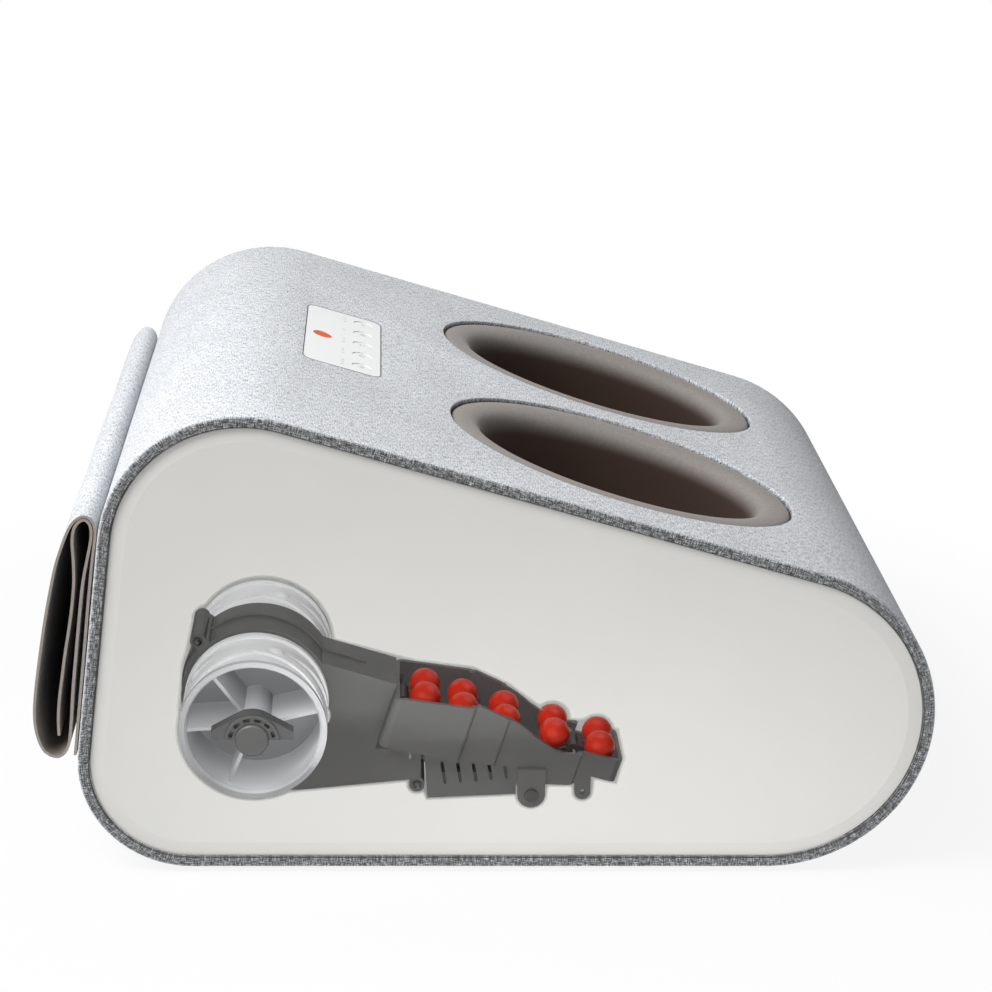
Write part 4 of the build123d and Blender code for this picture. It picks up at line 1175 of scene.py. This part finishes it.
@dataclass
class FoldedCover:
    """The lined cloth cover, folded in four leaves against the toe end.

    Its folds are drawn as points, each with its height up the toe wall and its distance out of
    it in millimetres. The outer leaves sway a little along the body's width.
    """

    width: float = 381.0 * MM
    length: float = 0.57
    thickness: float = 1.5 * MM
    step: float = 2.5
    rows: int = 24
    sway: float = 0.5 * MM
    sway_from: float = 14.0
    sway_over: float = 8.0
    sway_turns: Point2 = (41.0, 17.0)
    folds: tuple[Point2, ...] = (
        (-1.5, 1.3), (22.0, 1.4), (60.0, 1.5), (90.0, 1.7), (110.0, 1.6), (122.0, 1.3),
        (129.5, 1.5), (134.3, 3.4), (136.6, 7.3), (134.9, 11.3), (129.7, 14.9), (120.0, 17.9),
        (106.0, 20.8), (88.0, 22.6), (70.0, 23.8), (50.0, 24.6), (30.5, 25.0), (17.0, 24.2),
        (6.5, 21.6), (-1.3, 17.4), (-3.7, 11.9), (-2.0, 8.0), (4.0, 5.3), (17.0, 5.0),
        (36.0, 5.6), (59.0, 5.7), (82.0, 5.7), (100.0, 5.4), (113.0, 4.2), (123.0, 3.3),
        (129.0, 3.5), (133.0, 5.0), (134.6, 7.6), (133.0, 10.4), (129.0, 12.6), (122.0, 13.0),
        (113.0, 11.7), (105.0, 10.7), (97.0, 10.1), (84.0, 10.1), (70.0, 10.7), (57.0, 11.5),
        (43.0, 12.0), (30.0, 12.4), (18.7, 12.0), (9.2, 10.9),
    )  # fmt: skip

    def path(self) -> list[Point2]:
        """Draws a smooth line through the folds' points.

        Returns:
            The line's points, in millimetres up and out.
        """
        spots = [Vector(self.folds[0]), *map(Vector, self.folds), Vector(self.folds[-1])]
        line: list[Point2] = []
        for before, start, end, after in zip(spots, spots[1:], spots[2:], spots[3:]):
            count = max(2, round((end - start).length / self.step))
            for part in range(count):
                t = part / count
                spot = (
                    2 * start
                    + (end - before) * t
                    + (2 * before - 5 * start + 4 * end - after) * t**2
                    + (3 * start - before - 3 * end + after) * t**3
                ) / 2
                line.append((spot.x, spot.y))
        line.append(self.folds[-1])
        return line

    def make(self, shelf: Shelf, wall: Matrix) -> None:
        """Makes the cover.

        Args:
            shelf: the finishes.
            wall: the toe wall's frame, with x up it and y out of it.
        """
        line = self.path()
        piece = fresh(
            bpy.ops.mesh.primitive_grid_add, x_subdivisions=1, y_subdivisions=1, size=1.0
        )
        edit(piece)
        sculpt = bmesh.from_edit_mesh(piece.data)
        corners = sorted(sculpt.verts, key=lambda corner: (corner.co.x, corner.co.y))
        bmesh.ops.delete(sculpt, geom=corners[2:], context="VERTS")
        for corner, end in zip(corners[:2], (-0.5, 0.5)):
            corner.co = (line[0][0] * MM, line[0][1] * MM, end * self.width)
        bmesh.update_edit_mesh(piece.data)
        bpy.ops.mesh.select_all(action="SELECT")
        bpy.ops.mesh.subdivide(number_cuts=self.rows)
        for (up, out), (next_up, next_out) in zip(line, line[1:]):
            bpy.ops.mesh.extrude_region_move(
                TRANSFORM_OT_translate={"value": ((next_up - up) * MM, (next_out - out) * MM, 0)}
            )
        bpy.ops.object.mode_set(mode="OBJECT")
        by_width, by_height = self.sway_turns
        for corner in piece.data.vertices:
            spot = corner.co
            outer = max(0.0, min(1.0, (spot.y / MM - self.sway_from) / self.sway_over))
            spot.y += outer * self.sway * math.sin(spot.z * by_width + spot.x * by_height)
        place(piece, wall)
        self.lay_map(piece, line)
        looks = [shelf[name] for name in ("cover_heather", "cover_lining", "cover_binding")]
        for material in looks:
            piece.data.materials.append(material)
        modify(
            piece,
            "SOLIDIFY",
            thickness=self.thickness,
            offset=0,
            material_offset=1,
            material_offset_rim=2,
        )
        smooth(piece, 50)
        finish(piece, "folded_cover", "cover", [])
        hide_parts("fold_cover")

    def lay_map(self, piece: Piece, line: Sequence[Point2]) -> None:
        """Lays the cloth's UV map in metres, along its line and across it.

        Args:
            piece: the cloth, before it gets its thickness.
            line: the cloth's line.
        """
        lengths = [0.0]
        for first, second in zip(line, line[1:]):
            lengths.append(lengths[-1] + math.dist(first, second) * MM)
        layer = piece.data.uv_layers.new(name="weave")
        columns = self.rows + 2
        for loop in piece.data.loops:
            index = loop.vertex_index
            across = piece.data.vertices[index].co.y
            layer.data[loop.index].uv = (lengths[index // columns], across)


@dataclass
class Housing:
    """The wrapped shell, the side panels, the collars and the folded cover."""

    outline: Outline
    clear: tuple[Stretch, ...] = (
        Stretch((-0.1267, 0.0852), (-0.1205, 0.1376), 0.0415, 0.0378),
        Stretch((-0.1484, 0.1000), (-0.1485, 0.1220), 0.0186, 0.0162),
        Stretch((-0.1485, 0.1220), (-0.1498, 0.1504), 0.0162, 0.0088),
        Stretch((0.0362, 0.0938), (0.0370, 0.0880), 0.0099, 0.0099),
        Stretch((0.0609, 0.0863), (0.0609, 0.0800), 0.0096, 0.0096),
        Stretch((0.0543, 0.0492), (0.0543, 0.0560), 0.0056, 0.0060),
        Stretch((0.0258, 0.0476), (0.0258, 0.0560), 0.0087, 0.0095),
        Stretch((-0.0372, 0.0534), (-0.0372, 0.0660), 0.0054, 0.0054),
    )
    patches: tuple[tuple[Point2, ...], ...] = (
        (
            (-0.125, 0.060), (-0.106, 0.0487), (-0.041, 0.0554), (-0.0405, 0.128),
            (-0.0485, 0.1302), (-0.0837, 0.1412), (-0.112, 0.150),
        ),
        (
            (-0.050, 0.1288), (-0.050, 0.095), (-0.0318, 0.0444), (0.018, 0.047),
            (0.036, 0.058), (0.031, 0.0997), (0.0115, 0.1144), (-0.0075, 0.1237),
        ),
        ((0.028, 0.0525), (0.0594, 0.0525), (0.0594, 0.093), (0.054, 0.093), (0.028, 0.0934)),
        ((0.055, 0.058), (0.0728, 0.0542), (0.0768, 0.0695), (0.0728, 0.0872), (0.055, 0.0926)),
    )  # fmt: skip

    def make(self, shelf: Shelf) -> None:
        """Makes the housing's soft pieces and dresses its hard ones.

        Args:
            shelf: the finishes.
        """
        deck = self.outline.deck()
        Wrap(self.outline).make(shelf)
        knit = shelf.collar(deck)
        for side in Side:
            FootCollar(side).make(knit, deck)
        FoldedCover().make(shelf, self.outline.wall())
        dress("side_panel_left", ClearPanel(PANEL, self.clear, self.patches).material())
        dress("side_panel_right", PANEL.material())
        shelf.dress_all(
            {
                "top_cover": "shell_plastic",
                "base_shell": "base_plastic",
                "centre_divider": "divider_plastic",
                "rubber_feet": "foot_rubber",
                "power_inlet": "inlet_plastic",
                "pivot_pins": "mechanism_plastic",
            }
        )


# The controls


@dataclass(frozen=True)
class Line:
    """A short printed line, with its length, its middle's place and its turn.

    Its place is down the slope and across from the button's middle, in millimetres.
    """

    length: float
    x: float = 0.0
    y: float = 0.0
    turn: float = 0.0
    height: float = 0.06 * MM
    corner: float = 0.02 * MM

    def make(self, stroke: float) -> Piece:
        """Makes the line with softened ends.

        Args:
            stroke: its width.

        Returns:
            The line's mesh object.
        """
        piece = fresh(bpy.ops.mesh.primitive_cube_add, size=1.0)
        piece.scale = (self.length * MM, stroke, self.height)
        settle(piece)
        modify(piece, "BEVEL", width=self.corner, segments=1)
        spot = (self.x * MM, self.y * MM, 0)
        place(piece, Matrix.Translation(spot) @ Matrix.Rotation(self.turn, 4, "Z"))
        return piece


@dataclass(frozen=True)
class Ring:
    """A printed ring, with its radius and its middle's place in millimetres."""

    radius: float
    x: float = 0.0
    y: float = 0.0
    flatness: float = 0.18

    def make(self, stroke: float) -> Piece:
        """Makes the ring.

        Args:
            stroke: its width.

        Returns:
            The ring's mesh object.
        """
        piece = fresh(
            bpy.ops.mesh.primitive_torus_add,
            major_radius=self.radius * MM,
            minor_radius=stroke / 2,
            major_segments=28,
            minor_segments=6,
        )
        piece.scale = (1, 1, self.flatness)
        place(piece, Matrix.Translation((self.x * MM, self.y * MM, 0)))
        return piece


class ButtonMark(Enum):
    """Plain marks on the function buttons, each as its lines and rings."""

    BARS = (Line(2.0, y=-1.2), Line(3.0), Line(4.0, y=1.2))
    RING = (Ring(1.5), Line(1.1, x=-0.5))
    DOTS = (Ring(0.4, -1, -1), Ring(0.4, 1, 0), Ring(0.4, -1, 1))
    ARCS = (Ring(0.7), Ring(1.7))
    DROP = (Line(2.6, y=-0.75, turn=-0.6), Line(2.6, y=0.75, turn=0.6))


@dataclass
class ControlPanel:
    """The panel on the deck, with its buttons, lights and plain printed marks.

    The plate's sizes are its length, its width and its corners' radius.
    """

    column: float = 41.4 * MM
    pitch: float = 23.4 * MM
    top: float = -0.28 * MM
    stroke: float = 0.35 * MM
    plate: Point3 = (46.0 * MM, 120.0 * MM, 6.0 * MM)
    centre: float = 29.5 * MM
    # a thin dark strip that stands in for the shadow in the gap round the panel
    gap_shade: float = 0.55 * MM
    gap_shade_depth: float = 0.5 * MM
    gap_shade_level: float = -0.15 * MM
    corner_segments: int = 8

    def make_gap_shade(self, material: Material, deck: Matrix) -> None:
        """Makes a thin dark strip between the panel and the cloth, a painted shadow for the gap
        there.

        Args:
            material: its finish.
            deck: the sloping deck's frame.
        """
        length, width, corner = (size + 2 * self.gap_shade for size in self.plate)
        piece = fresh(bpy.ops.mesh.primitive_plane_add, size=1.0)
        piece.scale = (length, width, 1)
        settle(piece)
        edit(piece)
        bpy.ops.mesh.bevel(
            offset=corner - self.gap_shade, segments=self.corner_segments, affect="VERTICES"
        )
        bpy.ops.mesh.select_all(action="SELECT")
        bpy.ops.mesh.inset(thickness=self.gap_shade)
        bpy.ops.mesh.delete(type="FACE")
        modify(piece, "SOLIDIFY", thickness=self.gap_shade_depth, offset=0)
        close_up(piece)
        place(piece, deck @ Matrix.Translation((self.centre, 0, self.gap_shade_level)))
        smooth(piece)
        finish(piece, "panel_seal", "housing", [material])

    def print_mark(self, mark: ButtonMark) -> Piece:
        """Prints one button's mark around its middle.

        Args:
            mark: which mark.

        Returns:
            The mark, as one object.
        """
        parts = [part.make(self.stroke) for part in mark.value]
        pick(parts[0])
        for part in parts[1:]:
            part.select_set(True)
        bpy.ops.object.join()
        return bpy.context.object

    def make(self, shelf: Shelf, deck: Matrix) -> None:
        """Dresses the controls and prints the marks.

        Args:
            shelf: the finishes.
            deck: the sloping deck's frame.
        """
        shelf.dress_all(
            {
                "control_panel": "control_plastic",
                "power_button": "power_plastic",
                "indicator_lenses": "lens_plastic",
                "button_board": "board_laminate",
            }
        )
        # painted shadow: a dark strip in the gap round the panel
        self.make_gap_shade(shelf["seal_rubber"], deck)
        middle = len(ButtonMark) // 2
        for index, mark in enumerate(ButtonMark):
            body = f"function_button_{index + 1}"
            dress(body, shelf["button_plastic"])
            piece = self.print_mark(mark)
            spot = (self.column, (index - middle) * self.pitch, self.top)
            place(piece, deck @ Matrix.Translation(spot))
            smooth(piece)
            finish(piece, f"{body}_mark", body, [shelf["mark_ink"]])


# The mechanism


@dataclass
class Mechanism:
    """One bay's rollers, gearcase, tray, rockers and nodes."""

    side: Side
    arch: float = 15.4 * MM
    wing: Point2 = (0.0225, 0.005)
    arch_cuts: int = 9
    near: float = 0.1 * MM
    cap_edge: float = 0.35 * MM
    ring_inset: float = 0.3 * MM
    ring_width: float = 1.9 * MM
    ring_depth: float = 1.3 * MM
    ring_foot: float = 0.6 * MM
    small_edge: float = 0.25 * MM
    screws: tuple[Point2, ...] = ((-0.033, 0.035), (0.092, -0.0538))
    screw_seat: float = 20.8 * MM
    screw_radius: float = 2.6 * MM
    screw_length: float = 1.6 * MM
    screw_rim: float = 0.6 * MM
    recess_slope: float = 0.5 * MM
    recess_depth: float = 0.8 * MM

    def name(self, piece: str) -> str:
        """Gives a piece's name on this side."""
        return f"{piece}_{self.side.value}"

    def soften(self, piece: Piece, node: str, width: float, material: Material) -> None:
        """Rounds a moulding's copy and puts it in the moulding's place.

        Args:
            piece: the copy.
            node: the moulding's node.
            width: the rounding's width.
            material: its finish.
        """
        round_edges(piece, width)
        even_shading(piece)
        bodies = frame["record"]["behaviour"]["bodies"]
        body = next(name for name, nodes in bodies.items() if node in nodes)
        finish(piece, node + "_moulding", body, [material])
        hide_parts(node)

    def arch_height(self, across: float) -> float:
        """Gives the caps' height over the axle.

        Args:
            across: how far from the axle it is measured.

        Returns:
            The height of a round arch that runs out in two straight wings.
        """
        tip_x, tip_z = self.wing
        lean = math.acos(self.arch / math.hypot(tip_x, tip_z)) + math.atan2(tip_z, tip_x)
        touch_x, touch_z = self.arch * math.cos(lean), self.arch * math.sin(lean)
        if across < touch_x:
            return math.sqrt(self.arch**2 - across**2)
        return touch_z + (tip_z - touch_z) * min(1.0, (across - touch_x) / (tip_x - touch_x))

    def from_axle(self, spot: Vector) -> float:
        """Measures a point's distance from the rollers' axis."""
        return math.hypot(spot.x - AXLE[0], spot.z - AXLE[1])

    def on_roof(self, edge: bmesh.types.BMEdge) -> bool:
        """Says whether an edge runs over a cap's faceted roof.

        Args:
            edge: an edge of the caps.

        Returns:
            Whether it does.
        """
        first, second = (corner.co for corner in edge.verts)
        return (
            min(self.from_axle(first), self.from_axle(second)) > self.arch
            and abs(first.y - second.y) < self.near
            and min(first.z, second.z) > AXLE[1] + self.wing[1] - self.near
        )

    def caps(self, material: Material) -> None:
        """Makes the bearing caps with a round arch, and the ring on the outer one.

        Args:
            material: their finish.
        """
        node = self.name("bearing_caps")
        piece = merged_copy(node)
        edit(piece)
        select_where(piece, "edges", self.on_roof)
        bpy.ops.mesh.subdivide(number_cuts=self.arch_cuts)
        bpy.ops.object.mode_set(mode="OBJECT")
        for corner in piece.data.vertices:
            spot = corner.co
            if self.from_axle(spot) > self.arch:
                spot.z = min(spot.z, AXLE[1] + self.arch_height(abs(spot.x - AXLE[0])))
        self.soften(piece, node, self.cap_edge, material)
        outer_face = max(abs(corner.co.y) for corner in piece.data.vertices)
        self.cap_ring(self.side.sign * (outer_face + self.ring_depth / 2), material)

    def cap_ring(self, across: float, material: Material) -> None:
        """Makes the half ring that stands proud of the outer cap.

        Args:
            across: where its middle lies across the body.
            material: its finish.
        """
        radius = self.arch - self.ring_inset
        piece = fresh(
            bpy.ops.mesh.primitive_circle_add, vertices=64, radius=radius, fill_type="NOTHING"
        )
        edit(piece)
        select_where(piece, "verts", lambda corner: corner.co.y < self.ring_foot)
        bpy.ops.mesh.delete(type="VERT")
        bpy.ops.mesh.select_all(action="SELECT")
        bpy.ops.mesh.extrude_edges_move()
        share = (radius - self.ring_width) / radius
        bpy.ops.transform.resize(value=(share, share, 1), center_override=(0, 0, 0))
        modify(piece, "SOLIDIFY", thickness=self.ring_depth, offset=0)
        close_up(piece)
        modify(piece, "BEVEL", width=self.small_edge, segments=2)
        spot = Matrix.Translation((AXLE[0], across, AXLE[1]))
        place(piece, spot @ Matrix.Rotation(math.pi / 2, 4, "X"))
        smooth(piece)
        finish(piece, self.name("cap_ring"), "housing", [material])

    def case_screws(self, material: Material) -> None:
        """Puts screws with a sunk head in the gearcase's lugs.

        Args:
            material: their finish.
        """
        sign = self.side.sign
        for index, (x, z) in enumerate(self.screws):
            piece = fresh(
                bpy.ops.mesh.primitive_cylinder_add,
                vertices=28,
                radius=self.screw_radius,
                depth=self.screw_length,
            )
            edit(piece)
            select_where(piece, "faces", lambda face: face.normal.z > 0.9)
            bpy.ops.mesh.inset(thickness=self.screw_rim, depth=0)
            bpy.ops.mesh.inset(thickness=self.recess_slope, depth=-self.recess_depth)
            modify(piece, "BEVEL", width=self.small_edge, segments=2)
            spot = (AXLE[0] + x, sign * (BAY + self.screw_seat), AXLE[1] + z)
            turn = Matrix.Rotation(-sign * math.pi / 2, 4, "X")
            place(piece, Matrix.Translation(spot) @ turn)
            smooth(piece)
            name = self.name(f"case_screw_{index + 1}")
            finish(piece, name, "housing", [material])

    def make(self, shelf: Shelf) -> None:
        """Dresses the mechanism of this bay.

        Args:
            shelf: the finishes.
        """
        for piece_name, width in (
            ("gearcase_outer", 0.6 * MM),
            ("gearcase_inner", 0.6 * MM),
            ("node_tray", 0.8 * MM),
            ("motor_box", 0.6 * MM),
        ):
            node = self.name(piece_name)
            self.soften(merged_copy(node), node, width, shelf["mechanism_plastic"])
        self.caps(shelf["bearing_plastic"])
        shelf.dress_all(
            {
                "roller_outer": "drum_plastic",
                "roller_inner": "drum_plastic",
                "roller_axle": "bearing_plastic",
                "worm_wheel": "gear_plastic",
                "worm_shaft": "turned_steel",
                "motor": "motor_can_steel",
                "rocker_pins": "turned_steel",
                "drive_bar": "gear_plastic",
            },
            self.name(""),
        )
        for row in ("front", "middle", "rear"):
            dress(self.name(f"rocker_{row}"), shelf["rocker_plastic"])
            dress(self.name(f"kneading_nodes_{row}"), shelf["node_rubber"])
        self.case_screws(shelf["screw_steel"])


# The studio

BACKDROP = ("centre_divider", "base_shell")
WORKS = (
    *("roller_", "gearcase_", "node_tray_", "motor_", "bearing_caps_", "cap_ring_"),
    *("rocker_", "kneading_nodes_", "worm_", "case_screw_"),
)


@dataclass(frozen=True)
class Lamp:
    """One soft area lamp, aimed at a point. It can light only some pieces, without shadows."""

    name: str
    spot: Point3
    target: Point3
    size: Point2
    power: float
    only: tuple[str, ...] = ()

    def make(self) -> None:
        """Adds the lamp. Only the key lamp is mirrored in glossy pieces."""
        data = bpy.data.lights.new(self.name, "AREA")
        data.shape = "RECTANGLE"
        data.size, data.size_y = self.size
        data.energy = self.power
        lamp = bpy.data.objects.new(self.name, data)
        lamp.location = self.spot
        aim = Vector(self.target) - Vector(self.spot)
        lamp.rotation_euler = aim.to_track_quat("-Z", "Y").to_euler()
        lamp.visible_camera = False
        lamp.visible_glossy = self.name == "key"
        bpy.context.scene.collection.objects.link(lamp)
        if self.only:
            data.use_shadow = False
            lit = bpy.data.collections.new(f"{self.name}_lit")
            for piece in bpy.data.objects:
                if piece.name.startswith(self.only):
                    lit.objects.link(piece)
            lamp.light_linking.receiver_collection = lit


@dataclass
class Studio:
    """The floor, the lamps, the world and the camera.

    The camera's rows are its directions to the right, down and forward. The floor is paper that
    glows for the camera, by a share that grows from under the object outwards.
    """

    camera_spot: Point3 = (-0.06023, -1.4415, 0.65009)
    camera_rows: tuple[Point3, ...] = (
        (0.998843, -0.042708, 0.022105),
        (0.007050, -0.324656, -0.945806),
        (0.047570, 0.944867, -0.323980),
    )
    lens: float = 90.73
    sensor: float = 36.0
    nearest: float = 0.01
    floor_size: float = 14.0
    paper: Colour = (0.72, 0.72, 0.72)
    glow_reach: Point2 = (0.25, 0.6)
    glow_share: Point2 = (0.88, 1.0)
    room_light: float = 0.27
    lamps: tuple[Lamp, ...] = (
        Lamp("key", (-1.0, -0.6, 1.55), (0, 0, 0.1), (0.9, 0.9), 37.0),
        Lamp("fill", (0.08, -0.42, 0.012), (0.08, 0, 0.0), (0.5, 0.02), 0.38),
        Lamp("bay_wash", (0.0, -1.6, 1.5), (0, -0.1, 0.05), (0.6, 0.6), 25.0, BACKDROP),
        Lamp("bay_key", (-0.9, -1.3, 1.6), (0, -0.1, 0.05), (0.6, 0.6), 23.0, WORKS),
        Lamp("drum_top", (-0.25, -0.4, 1.5), (-0.13, -0.1, 0.08), (0.5, 0.5), 3.5, ("roller_",)),
    )

    def floor(self) -> None:
        """Lays a pale floor that keeps the object's shadow."""
        plane = fresh(bpy.ops.mesh.primitive_plane_add, size=self.floor_size)
        plane.name = "floor"
        board = Board("floor_paper")
        board.set(base_color=(*self.paper, 1.0), roughness=0.9)
        away = board.measure("LENGTH", board.spot())
        share = board.span(away, *self.glow_reach, *self.glow_share)
        seen = board.sum("MULTIPLY", board.seen(), share)
        glow = board.add("Emission", WHITE, 1.0).outputs[0]
        board.show(seen, board.shader.outputs[0], glow, "Material Output")
        plane.data.materials.append(board.material)

    def world(self) -> None:
        """Fills the room with even light, white where the camera sees it."""
        world = bpy.data.worlds.new("studio")
        bpy.context.scene.world = world
        world.use_nodes = True
        nodes = Nodes(world.node_tree)
        lit = nodes.tree.nodes["Background"]
        nodes.feed(lit, "Color", WHITE)
        nodes.feed(lit, "Strength", self.room_light)
        white = nodes.add("Background", WHITE, 1.0).outputs[0]
        nodes.show(nodes.seen(), lit.outputs[0], white, "World Output")

    def camera(self) -> None:
        """Sets the camera where the photograph was taken from."""
        data = bpy.data.cameras.new("camera")
        data.lens = self.lens
        data.sensor_width = self.sensor
        data.clip_start = self.nearest
        camera = bpy.data.objects.new("camera", data)
        right, down, forward = (Vector(row) for row in self.camera_rows)
        turn = Matrix((right, -down, -forward)).transposed()
        camera.matrix_world = Matrix.Translation(self.camera_spot) @ turn.to_4x4()
        bpy.context.scene.collection.objects.link(camera)
        bpy.context.scene.camera = camera

    def make(self) -> None:
        """Sets up the whole studio."""
        self.floor()
        self.world()
        self.camera()
        for lamp in self.lamps:
            lamp.make()
        bpy.context.scene.view_settings.view_transform = "Standard"


def main() -> None:
    """Builds every sub-assembly in order."""
    logging.basicConfig(level=logging.INFO, format="%(name)s: %(message)s")
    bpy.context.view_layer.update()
    shelf = Shelf()
    outline = Outline()
    Housing(outline).make(shelf)
    ControlPanel().make(shelf, outline.deck())
    for side in Side:
        Mechanism(side).make(shelf)
    Studio().make()
    clear_selection()


if __name__ == "__main__":
    main()
